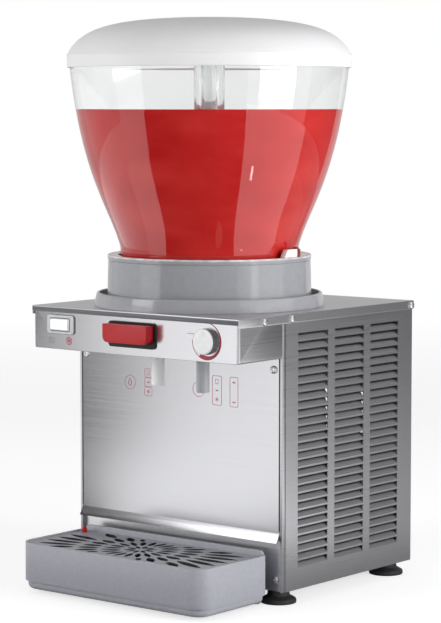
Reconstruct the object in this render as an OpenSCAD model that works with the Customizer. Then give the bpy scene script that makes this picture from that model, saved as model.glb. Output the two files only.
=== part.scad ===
// Cooled drink dispenser: stainless cabinet, clear round bowl on a plastic seat, push tap and drip tray.
// The front faces -Y, the table is at z = 0 and the origin is under the middle of the whole machine.

/* [Cabinet] */
// Width over the side panels
cab_w = 300; // [290:1:330]
// Depth from the front panel to the rear panel
cab_d = 249; // [245:1:280]
// Height of the top cover above the table
cab_h = 324; // [318:1:350]
// Thickness of the stainless sheet
sheet_t = 1.2; // [1:0.1:1.5]
// Gap between the top cover's folded edge and the panels
sheet_gap = 0.3; // [0.2:0.05:0.5]
// Depth of the top cover's folded edge at the sides and back
cover_edge = 10; // [8:0.5:12]
// Depth of the top cover's folded edge at the front
cover_front_edge = 6.5; // [5:0.5:8]
// Width of a front corner post seen from the front
post_w = 3.5; // [3:0.5:5]
// Depth of a front corner post seen from the side
post_d = 6; // [5:0.5:8]
// Height of the base pan's turned-up edge
pan_edge = 18; // [12:1:20]
// Height of the front panel's lower edge above the table
panel_low = 72; // [68:1:78]
// Height of the front panel's outward lip
lip_h = 10; // [8:1:12]
// How far the front panel's lip stands out
lip_out = 6; // [4:0.5:7]

/* [Feet] */
// Height of a foot under the base pan
foot_h = 16; // [12:1:20]
// Diameter of a foot's pad
foot_d = 40; // [34:1:44]
// Diameter of a foot's stud
stud_d = 8; // [6:1:10]
// Distance from the cabinet's sides to the feet
foot_inset = 22; // [22:1:28]

/* [Louvres] */
// Distance from the top cover down to the first louvre
louvre_top = 22.2; // [20:0.2:26]
// Distance from a side panel's front edge to the first louvre
louvre_first = 22; // [18:0.5:26]
// Least distance from the last louvres to the panel's other edges
louvre_edge = 20; // [16:0.5:24]
// Length of a louvre
louvre_l = 55.5; // [45:0.5:58]
// Distance between louvre columns
louvre_step = 68.5; // [62:0.5:69]
// Distance between louvre rows
louvre_pitch = 9.4; // [8.6:0.1:9.5]
// Height of a louvre's window
louvre_h = 7.2; // [6:0.2:7.4]
// How far a louvre's tab is pressed inwards
louvre_d = 5; // [3:0.5:6]

/* [Console] */
// How far the console stands out in front of the front panel
console_reach = 77; // [74:1:84]
// Height of the console's face below the cover's front edge
console_h = 42; // [40:1:48]
// Radius of the console's lower edges
console_r = 3; // [2:0.5:5]
// Distance from the middle to the switch
switch_x = 107; // [100:1:110]
// Width of the switch bezel
switch_w = 40; // [38:1:44]
// Height of the switch bezel
switch_h = 21; // [19:1:24]
// Width of the rocker
rocker_w = 26; // [22:1:28]
// Height of the rocker
rocker_h = 11.6; // [10:0.2:13]
// Distance from the middle to the thermostat
knob_x = 106; // [100:1:110]
// Diameter of the thermostat knob
knob_d = 29; // [26:0.5:32]
// Depth of the thermostat knob
knob_t = 7; // [6.5:0.5:10]
// Diameter of the thermostat shaft
knob_shaft_d = 6; // [5:0.5:7]

/* [Tap] */
// Width of the push handle
handle_w = 64; // [56:1:72]
// Height of the push handle
handle_h = 20.5; // [18:0.5:22]
// How far the handle stands out of the console
handle_out = 14.7; // [13:0.1:18]
// Radius of the handle's lower corners
handle_r = 7; // [4:0.5:9]
// Push travel of the handle
handle_travel = 8; // [6:0.5:9]
// Gap between the handle and its guide
slide_gap = 0.4; // [0.3:0.05:0.6]
// Diameter of the tap plunger
plunger_d = 14; // [12:0.5:15]
// Radial running clearance of shafts and plungers
run_gap = 0.05; // [0.03:0.01:0.08]
// Bore of the drink passage
passage_d = 10; // [8:0.5:11]
// Outer diameter of the spout
spout_d = 15; // [14:0.5:16]
// Length of the spout below the console
spout_drop = 37; // [30:1:45]
// Wire diameter of the return spring
spring_wire = 1.4; // [1:0.1:1.6]
// Turns of the return spring
spring_turns = 4; // [3:0.5:4.5]
// Outer diameter of the condensate drain tube
drain_d = 14.5; // [12:0.5:15]
// Length of the drain tube below the console
drain_drop = 38.5; // [30:0.5:45]

/* [Bowl seat] */
// Distance from the console's face to the seat's front
seat_front = 1.4; // [1:0.1:4]
// Outer radius of the seat's wall
seat_r = 116; // [104:0.5:124]
// Thickness of the seat's wall
seat_wall = 11.5; // [10:0.5:13]
// Height of the seat above the top cover
seat_h = 58; // [54:1:62]
// Width of the seat's drip gutter at the cover
gutter_w = 16.6; // [15:0.2:20]
// Height of the gutter's lip
gutter_h = 15; // [12:0.5:18]
// Height of the seat's floor above the top cover
seat_floor = 20; // [18:0.5:24]
// Thickness of the seat's floor and of the gutter's walls
seat_t = 4; // [3:0.2:5]
// Height of the bead around the seat's upper edge
bead_h = 5; // [4:0.2:6]
// How far the bead stands out of the seat's wall
bead_out = 0.6; // [0.4:0.1:1]

/* [Bowl and lid] */
// Outer radius of the bowl at its rim
bowl_r = 159.4; // [150:0.2:165]
// Height of the bowl's side above its neck
bowl_side = 208; // [180:1:230]
// Height of the bowl's neck
neck_h = 44; // [42:0.5:46]
// Wall thickness of the bowl
bowl_t = 3; // [2.5:0.1:3.5]
// Radial gap between the bowl's neck and the seat
neck_gap = 2.5; // [2:0.5:4.5]
// Distance from the bowl's neck in to the middle of its outlet
outlet_edge = 11; // [10:0.2:12]
// Wall thickness of the lid
lid_t = 2.4; // [2:0.1:3]
// Height of the lid's straight rim
lid_rim = 14; // [10:0.5:18]
// Height of the lid's dome above its rim
lid_dome = 42.8; // [34:0.2:50]
// Gap between the lid's skirt and the bowl
lid_gap = 0.6; // [0.5:0.05:1]
// Depth of the bowl's rim inside the lid
lid_overlap = 6; // [4:0.5:8]
// Gap left between pieces that lift apart
lift_gap = 0.3; // [0.2:0.05:0.5]

/* [Cooler] */
// Space for the drink between the bowl's neck and the evaporator
drink_gap = 42; // [41:0.5:46]
// Height of the evaporator above the top cover
evap_h = 96; // [90:1:104]
// Thickness of the evaporator's wall
evap_t = 1.5; // [1:0.1:2]
// Diameter of the refrigerant tube
tube_d = 8; // [6:0.5:8.5]
// Turns of the evaporator coil
coil_turns = 7; // [5:1:8]
// Distance from the evaporator's outside in to the drive magnet
magnet_in = 22; // [16:0.5:24]
// Radius of the impeller
impeller_r = 28; // [24:0.5:30]
// Blades of the impeller
impeller_blades = 6; // [4:1:8]
// Outer diameter of the riser's sleeve
sleeve_d = 35; // [33:0.5:38]
// Outer diameter of the riser tube
riser_d = 19; // [16:0.5:20]
// Wall of the riser tube and its sleeve
riser_t = 2; // [1.5:0.1:2.5]
// Height of the sleeve's upper end above the top cover
sleeve_top = 292; // [270:1:300]
// Radius of the compressor's shell
comp_r = 60; // [54:1:62]
// Height of the compressor's shell
comp_h = 132; // [115:1:140]
// Width of the condenser along the cabinet's depth
cond_w = 140; // [130:2:150]
// Height of the condenser
cond_h = 146; // [136:1:156]
// Thickness of the condenser
cond_t = 40; // [34:1:42]
// Gap between the rear feet's studs and the condenser
bay_gap = 4; // [3:0.5:6]
// Fins of the condenser
cond_fins = 22; // [16:1:26]
// Outer diameter of the fan
fan_d = 124; // [110:1:126]
// Blades of the fan
fan_blades = 5; // [4:1:7]
// Diameter of the fan's hub
fan_hub_d = 36; // [30:1:40]
// Length of the fan's hub
fan_hub_l = 18; // [14:1:20]
// Diameter of the fan's motor
fan_motor_d = 54; // [46:1:60]
// Length of the fan's motor
fan_motor_l = 38; // [32:1:42]
// Diameter of the compressor's rubber mounts
mount_d = 22; // [18:1:26]
// Height of the compressor's rubber mounts
mount_h = 9; // [7:0.5:12]
// Radius of the mixer motor
motor_r = 34; // [28:0.5:38]
// Height of the mixer motor
motor_h = 60; // [48:1:64]
// Diameter of the filter drier
drier_d = 18; // [16:0.5:22]
// Length of the filter drier
drier_l = 100; // [80:1:120]
// Width of the terminal box
terminal_w = 76; // [60:1:90]
// Depth of the terminal box
terminal_d = 46; // [38:1:50]
// Height of the terminal box
terminal_h = 58; // [48:1:70]

/* [Drip tray] */
// How far the tray's front lies ahead of the front panel
tray_reach = 121.3; // [116:0.1:130]
// Gap between the tray's back and the front panel
tray_gap = 8.4; // [7.5:0.1:10]
// Width of the tray
tray_w = 270; // [250:1:280]
// Height of the tray's rim above the table
tray_top = 58; // [56:0.5:62]
// Rise of the tray's back wall above its rim
tray_rise = 5; // [3:0.2:8]
// Height of the tray's underside above the table
tray_low = 4.4; // [3:0.2:6]
// Radius of the tray's front corners
tray_r = 20; // [14:1:30]
// Wall thickness of the tray
tray_t = 2.5; // [2:0.1:3]
// Thickness of the grid
grid_t = 4; // [3:0.2:5]
// Length of a petal slot in the grid's middle ring
slot_l = 24; // [20:0.5:25]
// Width of such a slot
slot_w = 7; // [5:0.2:7.4]
// Radius of the middle ring of slots
slot_step = 34; // [34:0.5:37]
// Distance from the middle to a support arm
arm_x = 66; // [55:1:80]
// Width of a support arm
arm_w = 16; // [12:1:20]
// Thickness of a support arm
arm_t = 4; // [3:0.5:5]
// Diameter of the float's stem
float_d = 5.6; // [4:0.2:6.4]

/* [Hidden] */
$fn = 96;

// Planes of the cabinet
cover_out = sheet_gap + sheet_t;
total_d = tray_reach + cab_d + cover_out;
y_rear = total_d / 2 - cover_out;
y_front = y_rear - cab_d;
y_console = y_front - console_reach;
y_low = y_front + post_d;
half_w = cab_w / 2;
x_in = half_w - sheet_t;
z_top = cab_h;
z_under = z_top - sheet_t;
z_con = z_top - cover_front_edge - console_h;
z_shelf = z_con + sheet_t;
z_pan = foot_h;
z_floor = z_pan + sheet_t;
panel_lap = 10;
flange_w = 20;
panel_half = half_w - post_w - sheet_gap;
rear_inset = foot_inset - 3;

// Screws
screw_d = 4.8;
screw_head_d = 9;
screw_head_h = 2.6;
screw_l = 6;
screw_gap = 0.2;
cover_screw_z = z_top - (cover_edge + sheet_t) / 2;
cover_screw_y = [y_console + 43, y_front + 15, y_rear - 4];
front_screw_x = half_w - 12;
front_screw_z = z_con - 12.5;
low_screw_z = z_pan + pan_edge - 5;

// Bowl axis and the levels above the top cover
skirt_r = seat_r + gutter_w;
seat_bore = seat_r - seat_wall;
neck_r = seat_bore - neck_gap;
bowl_y = y_console + seat_front + skirt_r;
cover_hole_r = seat_bore + 1.5;
gutter_floor = 5;
lip_lean = 3.4;
gutter_out = skirt_r - lip_lean - seat_t + 1;
gutter_in = seat_r + 2.5;
gutter_mid = (gutter_out + gutter_in) / 2;
drain_angle = 36;
drain_x = gutter_mid * sin(drain_angle);
drain_y = bowl_y - gutter_mid * cos(drain_angle);
seal_t = 3.7;
seal_w = 18;
seal_up = 9;
z_seat = z_top + seat_floor;
z_bowl = z_seat + seal_t + lift_gap;
evap_r = neck_r - drink_gap;
bowl_hole = evap_r + 6;
z_side = z_bowl + neck_h;
z_rim = z_side + bowl_side;
z_lid = z_rim - lid_overlap;
lid_r = bowl_r + lid_gap + lid_t;
dome_pull = [0.35, 0.667, 0.738];
neck_step = 0.4;
low_pull = [12.8, 44];
high_pull = [12.9, bowl_side * 0.62];
outlet_y = bowl_y - neck_r + outlet_edge;
nipple_d = 15;
nipple_bore = 11;
nipple_low = z_top - 7.5;
block_r = (seat_bore + seat_r) / 2;
block_angle = 4.6;
block_size = [7, 32, 9];
pin_d = 3;
pin_head_d = 6;
pin_in = 7;
pin_y = block_size[1] / 2 - pin_head_d / 2 - 2;

// Console fittings
z_handle = z_top - cover_front_edge - 17.25;
bezel_w = handle_w + 4.4;
bezel_up = handle_h / 2 + 2.7;
bezel_down = handle_h / 2 + 5.7;
bezel_t = 2;
bezel_sleeve = 6;
bezel_wall = 1.2;
handle_in = 4.3;
z_switch = z_top - cover_front_edge - 13.5;
rocker_gap = 1.2;
rocker_pivot = 4;
rocker_lead = 5;
rocker_pin_d = 3;
z_knob = z_top - cover_front_edge - 19.5;
bush_d = 10;
nut_t = 2.5;
nut_d = 15;
knob_gap = 0.8;

// Tap
rod_d = 8;
tap_boss_d = plunger_d + 8;
tap_neck_d = nipple_d + 9;
tap_front = y_console + 21.3;
tap_back = outlet_y + 28;
tap_wall = 3;
piston_front = tap_front + 1;
waist_front = outlet_y - passage_d / 2 - handle_travel - 3;
waist_l = handle_travel + 1;
piston_back = tap_back - tap_wall - handle_travel - 2;
tap_top = z_top + seat_floor - seat_t - 4;
tap_flange = [44, 34, 4];
ring_wire = 2;
spout_in = 8;
spring_r = rod_d / 2 + spring_wire / 2 + 1.2;
spring_sides = 6;
spring_ring_count = 20;

// Cooler
evap_in = evap_r - evap_t;
evap_flange_r = evap_r + 15;
coil_r = evap_in - tube_d / 2 - 0.6;
coil_low = z_top + 8;
coil_high = z_top + evap_h - 12 - tube_d / 2;
bracket_z = z_top - 15;
bracket_t = 3;
bracket_half = evap_flange_r - 6;
bracket_w = 40;
shaft_d = 8;
shaft_in = 20;
magnet_r = evap_r - magnet_in;
magnet_t = 12;
z_dome = z_top + evap_h;
magnet_top = z_dome - evap_t - 2;
foam_bore = 14;
foam_top = magnet_top - magnet_t - 5;
foam_r = coil_r - tube_d / 2 - 1;
impeller_h = 13;
impeller_pin_d = 6;
pump_in = impeller_r + 3;
pump_t = 2.5;
pump_h = impeller_h + 3.5 + pump_t;
z_pump = z_dome + pump_h;
sleeve_boss = 4;

// Machine bay
bay_back = rear_inset + stud_d / 2 + bay_gap;
bay_y = y_rear - bay_back - cond_w / 2;
comp_x = -half_w + comp_r + 18;
comp_stub = 10;
mount_r = comp_r * 0.8;
cond_x = half_w - 11 - cond_t;
fan_z = z_floor + cond_h / 2;
shroud_t = 2;
fan_gap = 5;
fan_x = cond_x - shroud_t - fan_gap - fan_hub_l;
fan_motor_x = fan_x - 4 - fan_motor_l;
fan_shaft_in = 12;
fan_bracket_t = 2;
fan_foot_l = 26;

// Drip tray
tray_front = -total_d / 2;
tray_back = y_front - tray_gap;
tray_rb = 4;
tray_ledge = 3;
grid_drop = 1.5;
z_grid = tray_top - grid_drop - grid_t;
tray_skirt = 10;
tray_tuck = 3;
grid_gap = 0.5;
arm_gap = 1;
arm_z = z_pan + 4;
arm_front = tray_back - 85;
arm_plate_t = 3;
float_x = -tray_w / 2 + 13.5;
float_y = tray_back - 16;
float_disc_d = 14;
float_disc_h = 8;
float_show = 7;
// Rings of slots: inner radius, length, width and how many would go all the way round
slot_in = slot_step - slot_l / 2;
slot_rings = [[0.25 * slot_in, 0.6 * slot_l, 0.8 * slot_w, 10], [slot_in, slot_l, slot_w, 20],
    [slot_in + 1.08 * slot_l, 1.1 * slot_l, 1.35 * slot_w, 28],
    [slot_in + 2.26 * slot_l, 2.1 * slot_l, 1.5 * slot_w, 40]];
grid_y = (tray_front + tray_back) / 2;

// Outlines shared by several pieces

// A rectangle with its lower corners rounded
module round_bottom(half, low, high, r) {
    translate([-half, low + r]) square([2 * half, high - low - r]);
    translate([-half + r, low]) square([2 * (half - r), 2 * r]);
    for (s = [-1, 1]) translate([s * (half - r), low + r]) circle(r);
}

// A rectangle with all corners rounded
module round_box(half, low, high, r) {
    translate([-half, low + r]) square([2 * half, high - low - 2 * r]);
    translate([-half + r, low]) square([2 * (half - r), high - low]);
    for (s = [-1, 1], z = [low + r, high - r]) translate([s * (half - r), z]) circle(r);
}

// A straight slot with round ends, centred on the origin and lying along X
module slot(l, w) {
    translate([-(l - w) / 2, -w / 2]) square([l - w, w]);
    for (s = [-1, 1]) translate([s * (l - w) / 2, 0]) circle(w / 2);
}

// An outline in X and Z drawn out along Y from y0 to y1
module along_y(y0, y1) {
    translate([0, y1, 0]) rotate([90, 0, 0]) linear_extrude(y1 - y0) children();
}

// An outline in Y and Z drawn out along X from x0 to x1
module along_x(x0, x1) {
    translate([x0, 0, 0]) rotate([90, 0, 90]) linear_extrude(x1 - x0) children();
}

// A round bar along Y from y0 to y1
module bar_y(x, z, d, y0, y1) {
    translate([x, y1, z]) rotate([90, 0, 0]) cylinder(d = d, h = y1 - y0);
}

// A round bar along X from x0 to x1
module bar_x(y, z, d, x0, x1) {
    translate([x0, y, z]) rotate([0, 90, 0]) cylinder(d = d, h = x1 - x0);
}

// A shape turned about the bowl's axis
module about_bowl() {
    translate([0, bowl_y, 0]) rotate_extrude() children();
}

// A box between two corners
module box(a, b) {
    translate(a) cube(b - a);
}

// A round tube swept along points, closed at both ends
module swept_tube(points, r, sides) {
    last = len(points) - 1;
    up = [0.31, 0.52, 0.79];
    function unit(v) = v / norm(v);
    function tangent(i) = unit(points[min(i + 1, last)] - points[max(i - 1, 0)]);
    function across(i) = unit(cross(tangent(i), up));
    rings = [for (i = [0:last], s = [0:sides - 1])
        let (u = across(i), v = cross(tangent(i), u), a = 360 * s / sides)
        points[i] + r * (u * cos(a) + v * sin(a))];
    function at(i, s) = i * sides + s % sides;
    skin = [for (i = [0:last - 1], s = [0:sides - 1], half = [0, 1])
        half == 0 ? [at(i, s), at(i, s + 1), at(i + 1, s + 1)] : [at(i, s), at(i + 1, s + 1), at(i + 1, s)]];
    first_end = [for (s = [0:sides - 1]) at(0, sides - 1 - s)];
    last_end = [for (s = [0:sides - 1]) at(last, s)];
    polyhedron(points = rings, faces = concat(skin, [first_end, last_end]), convexity = 10);
}

// Points of a helix about Z
function helix(r, z0, z1, turns, per_turn, start) = [for (i = [0:turns * per_turn])
    let (a = start + 360 * i / per_turn) [r * cos(a), r * sin(a), z0 + (z1 - z0) * i / (turns * per_turn)]];

// Points of a curve pulled by four points
function curve(a, b, c, d, n) = [for (i = [0:n])
    let (t = i / n, s = 1 - t) s * s * s * a + 3 * s * s * t * b + 3 * s * t * t * c + t * t * t * d];

// Cabinet

module foot_places() {
    for (x = [-1, 1] * (half_w - foot_inset), y = [y_low + foot_inset - post_d, y_rear - rear_inset])
        translate([x, y, 0]) children();
}

module base_pan() {
    color("silver") difference() {
        box([-x_in, y_low, z_pan], [x_in, y_rear - sheet_t, z_pan + pan_edge]);
        box([-x_in + sheet_t, y_low + sheet_t, z_floor], [x_in - sheet_t, y_rear - 2 * sheet_t, z_top]);
        foot_places() cylinder(d = stud_d + 2 * screw_gap, h = z_top);
        for (s = [-1, 1])
            bar_y(s * front_screw_x, low_screw_z, screw_d + 2 * screw_gap, y_front, y_low + 2 * sheet_t);
    }
}

module feet() {
    pad_h = foot_h * 0.28;
    stem_r = foot_d * 0.3;
    color("black") foot_places() {
        rotate_extrude() polygon([[0, 0], [foot_d / 2, 0], [foot_d / 2, pad_h],
            [foot_d / 2 - 3, pad_h + 2], [stem_r + 1, pad_h + 4], [stem_r, foot_h], [0, foot_h]]);
        cylinder(d = stud_d, h = foot_h + sheet_t + stud_d);
    }
}

module corner_posts() {
    color("silver") for (s = [0, 1]) mirror([s, 0, 0]) difference() {
        union() {
            box([half_w - post_w, y_front, z_pan], [half_w, y_low, z_under]);
            box([half_w - flange_w, y_front + sheet_t, panel_low + lip_h],
                [half_w - post_w + sheet_t, y_front + 2 * sheet_t, z_con + panel_lap]);
        }
        bar_y(front_screw_x, front_screw_z, screw_d + 2 * screw_gap, y_front, y_low);
    }
}

// A side panel: sheet with rows of windows, each with its tab pressed inwards from the lower edge
module side_panel() {
    first_y = y_low + louvre_first;
    first_z = z_top - louvre_top;
    louvre_cols = floor((y_rear - first_y - louvre_edge - louvre_l) / louvre_step) + 1;
    louvre_rows = floor((first_z - z_pan - louvre_edge - louvre_h) / louvre_pitch) + 1;
    kerf = 0.4;
    function window_y(c) = first_y + c * louvre_step;
    function window_z(r) = first_z - r * louvre_pitch;
    difference() {
        union() {
            along_x(x_in, half_w) difference() {
                translate([y_low, z_pan]) square([y_rear - y_low, z_under - z_pan]);
                for (c = [0:louvre_cols - 1], r = [0:louvre_rows - 1])
                    translate([window_y(c), window_z(r) - louvre_h]) square([louvre_l, louvre_h]);
            }
            for (c = [0:louvre_cols - 1])
                along_y(window_y(c) + kerf, window_y(c) + louvre_l - kerf)
                    for (r = [0:louvre_rows - 1]) translate([half_w, window_z(r)])
                        polygon([[-louvre_d, 0], [0, -louvre_h], [0, -louvre_h - sheet_t / 2],
                            [-sheet_t, -louvre_h - sheet_t / 2], [-sheet_t, -louvre_h],
                            [-louvre_d - sheet_t, 0]]);
        }
        for (i = [1, 2])
            bar_x(cover_screw_y[i], cover_screw_z, screw_d + 2 * screw_gap, x_in - 1, half_w + 1);
    }
}

module left_side_panel() {
    color("silver") mirror([1, 0, 0]) side_panel();
}

module right_side_panel() {
    color("silver") side_panel();
}

module front_panel() {
    color("gainsboro") difference() {
        along_x(-panel_half, panel_half)
            polygon([[y_front, z_con + panel_lap], [y_front, panel_low + lip_h],
                [y_front - lip_out, panel_low], [y_front - lip_out + sheet_t, panel_low],
                [y_front + sheet_t, panel_low + lip_h], [y_front + sheet_t, z_con + panel_lap]]);
        for (s = [-1, 1])
            bar_y(s * front_screw_x, front_screw_z, screw_d + 2 * screw_gap, y_front - 1, y_low);
    }
}

module lower_front() {
    color("silver") difference() {
        box([-half_w + post_w, y_low - sheet_t, z_pan],
            [half_w - post_w, y_low, panel_low + lip_h + panel_lap]);
        for (s = [-1, 1])
            bar_y(s * front_screw_x, low_screw_z, screw_d + 2 * screw_gap, y_front, y_low + 1);
    }
}

module rear_panel() {
    vent_rows = 10;
    vent_l = 90;
    vent_w = 5;
    vent_pitch = 11;
    color("silver") difference() {
        box([-x_in, y_rear - sheet_t, z_pan], [x_in, y_rear, z_under]);
        along_y(y_rear - 2 * sheet_t, y_rear + 1)
            for (s = [-1, 1], r = [0:vent_rows - 1])
                translate([s * half_w * 0.45, z_pan + pan_edge + 75 + r * vent_pitch]) slot(vent_l, vent_w);
        along_y(y_rear - 2 * sheet_t, y_rear + 1) translate(inlet_at()) square(inlet_cut, center = true);
    }
}

module top_cover() {
    out_x = half_w + cover_out;
    in_x = half_w + sheet_gap;
    color("gainsboro") difference() {
        box([-out_x, y_console - cover_out, z_top - cover_edge], [out_x, y_rear + cover_out, z_top]);
        box([-in_x, y_console - sheet_gap, 0], [in_x, y_rear + sheet_gap, z_under]);
        box([-in_x, y_console - cover_out - 1, 0], [in_x, y_console, z_top - cover_front_edge]);
        translate([0, bowl_y, z_under - 1]) cylinder(r = cover_hole_r, h = sheet_t + 2);
        translate([drain_x, drain_y, z_under - 1]) cylinder(d = drain_d + 2 * lift_gap, h = sheet_t + 2);
        for (y = cover_screw_y)
            bar_x(y, cover_screw_z, screw_d + 2 * screw_gap, -out_x - 1, out_x + 1);
    }
}

// Block with rounded front and lower edges, shrunk by an inset
module console_block(inset, back, top) {
    half = half_w - inset;
    front = y_console + inset;
    low = z_con + inset;
    r = console_r - inset / 2;
    intersection() {
        along_y(front, back) round_bottom(half, low, top, r);
        translate([0, 0, low]) linear_extrude(top - low) round_bottom(half, front, back, r);
    }
}

module console() {
    color("gainsboro") difference() {
        console_block(0, y_front, z_under);
        console_block(sheet_t, y_front + 1, z_top + 1);
        along_y(y_console - 1, y_console + 2 * sheet_t)
            bezel_hole(handle_w / 2 + slide_gap + bezel_wall + screw_gap, slide_gap + bezel_wall + screw_gap);
        along_y(y_console - 1, y_console + 2 * sheet_t)
            translate([-switch_x, z_switch]) square(switch_body(screw_gap), center = true);
        bar_y(knob_x, z_knob, bush_d + 2 * screw_gap, y_console - 1, y_console + 2 * sheet_t);
        translate([0, outlet_y, z_con - 1]) cylinder(d = spout_d + 2 * screw_gap, h = 2 * sheet_t + 1);
        translate([drain_x, drain_y, z_con - 1]) cylinder(d = drain_d + 2 * screw_gap, h = 2 * sheet_t + 1);
        for (s = [-1, 1])
            bar_x(cover_screw_y[0], cover_screw_z, screw_d + 2 * screw_gap, s * half_w - 3, s * half_w + 3);
    }
}

// A pan-head screw with its head's seat on the plane z = 0
module screw() {
    rotate_extrude() polygon([[0, -screw_l], [screw_d / 2, -screw_l], [screw_d / 2, 0], [screw_head_d / 2, 0],
        [screw_head_d / 2, screw_head_h * 0.45], [screw_head_d * 0.36, screw_head_h * 0.85],
        [screw_head_d * 0.2, screw_head_h], [0, screw_head_h]]);
}

module cover_screws() {
    color("lightgray") for (s = [0, 1], y = cover_screw_y) mirror([s, 0, 0])
        translate([half_w + cover_out, y, cover_screw_z]) rotate([0, 90, 0]) screw();
}

module front_screws() {
    color("lightgray") for (s = [-1, 1]) {
        translate([s * front_screw_x, y_front, front_screw_z]) rotate([90, 0, 0]) screw();
        translate([s * front_screw_x, y_low - sheet_t, low_screw_z]) rotate([90, 0, 0]) screw();
    }
}

// Two runner arms on plates that are fixed to the lower front
module tray_arms() {
    plate_y = y_low - sheet_t;
    color("silver") for (s = [-1, 1]) translate([s * arm_x, 0, 0]) {
        box([-arm_w / 2, arm_front, arm_z], [arm_w / 2, plate_y, arm_z + arm_t]);
        box([-arm_w / 2, plate_y - arm_plate_t, arm_z], [arm_w / 2, plate_y, arm_z + 24]);
    }
}

// Bowl seat

module bowl_seat() {
    lip = skirt_r - lip_lean;
    neck_hole = evap_r + 5;
    wall_in = cover_hole_r + 2;
    bead_low = seat_h - bead_h;
    color("darkgray") difference() {
        about_bowl() translate([0, z_top]) polygon([[skirt_r, 0], [lip, gutter_h - 1], [lip - 1, gutter_h],
            [gutter_out, gutter_h], [gutter_out, gutter_floor], [gutter_in, gutter_floor],
            [seat_r + 1, gutter_h], [seat_r, bead_low - 1.4], [seat_r - bead_out, bead_low - 0.8],
            [seat_r - bead_out, bead_low], [seat_r + bead_out, bead_low],
            [seat_r + bead_out, seat_h - 2], [seat_r - 1.4, seat_h], [seat_bore + 1, seat_h],
            [seat_bore, seat_h - 1], [seat_bore, seat_floor], [neck_hole, seat_floor],
            [neck_hole, seat_floor - seat_t], [wall_in, seat_floor - seat_t], [wall_in, 0]]);
        translate([0, outlet_y, z_top]) cylinder(d = nipple_d + 2, h = seat_floor + 1);
        translate([drain_x, drain_y, z_top - 1])
            cylinder(d = gutter_out - gutter_in - 1, h = gutter_floor + 2);
        block_places() translate([0, pin_y, -pin_in - 1]) cylinder(d = pin_d + 2 * run_gap, h = pin_in + 2);
    }
}

module block_places() {
    for (s = [0, 1]) mirror([s, 0, 0]) translate([0, bowl_y, z_top + seat_h]) rotate(block_angle)
        translate([block_r, 0, 0]) children();
}

// Blocks on the seat's rim that keep the bowl in the middle, with a slanted front end
module locating_blocks() {
    slant = 6;
    color("white") block_places() difference() {
        translate([block_size[0] / 2, 0, 0]) rotate([90, 0, -90]) linear_extrude(block_size[0])
            polygon([[-block_size[1] / 2, 0], [block_size[1] / 2, 0],
                [block_size[1] / 2 - slant, block_size[2]], [-block_size[1] / 2, block_size[2]]]);
        translate([0, pin_y, -1]) cylinder(d = pin_d + 2 * run_gap, h = block_size[2] + 2);
    }
}

module block_pins() {
    head_h = 2;
    color("sienna") block_places() translate([0, pin_y, 0]) {
        translate([0, 0, -pin_in]) cylinder(d = pin_d, h = block_size[2] + pin_in);
        translate([0, 0, block_size[2]]) cylinder(d = pin_head_d, h = head_h);
    }
}

// Rubber ring that seals the bowl's floor to the evaporator
module bowl_seal() {
    inner = evap_r + lift_gap;
    pad = evap_r + seal_w;
    sleeve = bowl_hole - lift_gap;
    color("dimgray") about_bowl() translate([0, z_seat]) polygon([[inner, 0], [pad, 0], [pad, seal_t],
        [sleeve, seal_t], [sleeve, seal_t + seal_up], [inner, seal_t + seal_up + 2]]);
}

// Cooler and mixer

module evaporator() {
    flange_low = seat_floor - seat_t - evap_t;
    color("lightgray") about_bowl() translate([0, z_top]) polygon([[evap_flange_r, flange_low],
        [evap_flange_r, flange_low + evap_t], [evap_r, flange_low + evap_t], [evap_r, evap_h - 4],
        [evap_r - 1.5, evap_h - 1.5], [evap_r - 4, evap_h], [0, evap_h], [0, evap_h - evap_t],
        [evap_in - 3, evap_h - evap_t], [evap_in, evap_h - evap_t - 3], [evap_in, flange_low]]);
}

module evaporator_coil() {
    color("peru") translate([0, bowl_y, 0])
        swept_tube(helix(coil_r, coil_low, coil_high, coil_turns, 24, 90), tube_d / 2, 8);
}

module insulation() {
    low = bracket_z + bracket_t;
    corner = 4;
    color("lightyellow") about_bowl() polygon([[foam_bore, low], [foam_r, low], [foam_r, foam_top - corner],
        [foam_r - corner, foam_top], [foam_bore, foam_top]]);
}

// Strap under the evaporator's flange that carries the mixer motor
module motor_bracket() {
    leg_top = z_top + seat_floor - seat_t - evap_t;
    color("silver") translate([0, bowl_y, 0]) difference() {
        union() {
            box([-bracket_half, -bracket_w / 2, bracket_z],
                [bracket_half, bracket_w / 2, bracket_z + bracket_t]);
            for (s = [0, 1]) mirror([s, 0, 0])
                box([bracket_half - bracket_t, -bracket_w / 2, bracket_z],
                    [bracket_half, bracket_w / 2, leg_top]);
        }
        translate([0, 0, bracket_z - 1]) cylinder(d = shaft_d + 4, h = bracket_t + 2);
    }
}

module mixer_motor() {
    color("dimgray") translate([0, bowl_y, bracket_z]) mirror([0, 0, 1]) difference() {
        union() {
            cylinder(r = motor_r, h = motor_h - 4);
            cylinder(r = motor_r - 4, h = motor_h);
        }
        translate([0, 0, -1]) cylinder(d = shaft_d + 2 * run_gap, h = shaft_in + 2);
        for (a = [0:45:315]) rotate(a) translate([motor_r, 0, 14]) cylinder(d = 5, h = motor_h);
    }
}

// Magnet disc on the motor's shaft, under the evaporator's top
module drive_magnet() {
    pocket_r = 7;
    pocket_h = 3;
    pocket_place = magnet_r - pocket_r - 5;
    color("black") translate([0, bowl_y, 0]) {
        translate([0, 0, magnet_top - magnet_t]) difference() {
            cylinder(r = magnet_r, h = magnet_t);
            for (a = [0:60:300]) rotate(a) translate([pocket_place, 0, magnet_t - pocket_h])
                cylinder(r = pocket_r, h = pocket_h + 1);
        }
        translate([0, 0, bracket_z - shaft_in]) cylinder(d = shaft_d, h = magnet_top - bracket_z + shaft_in);
    }
}

module impeller_pin() {
    color("lightgray") translate([0, bowl_y, z_dome]) cylinder(d = impeller_pin_d, h = impeller_h + 1);
}

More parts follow.
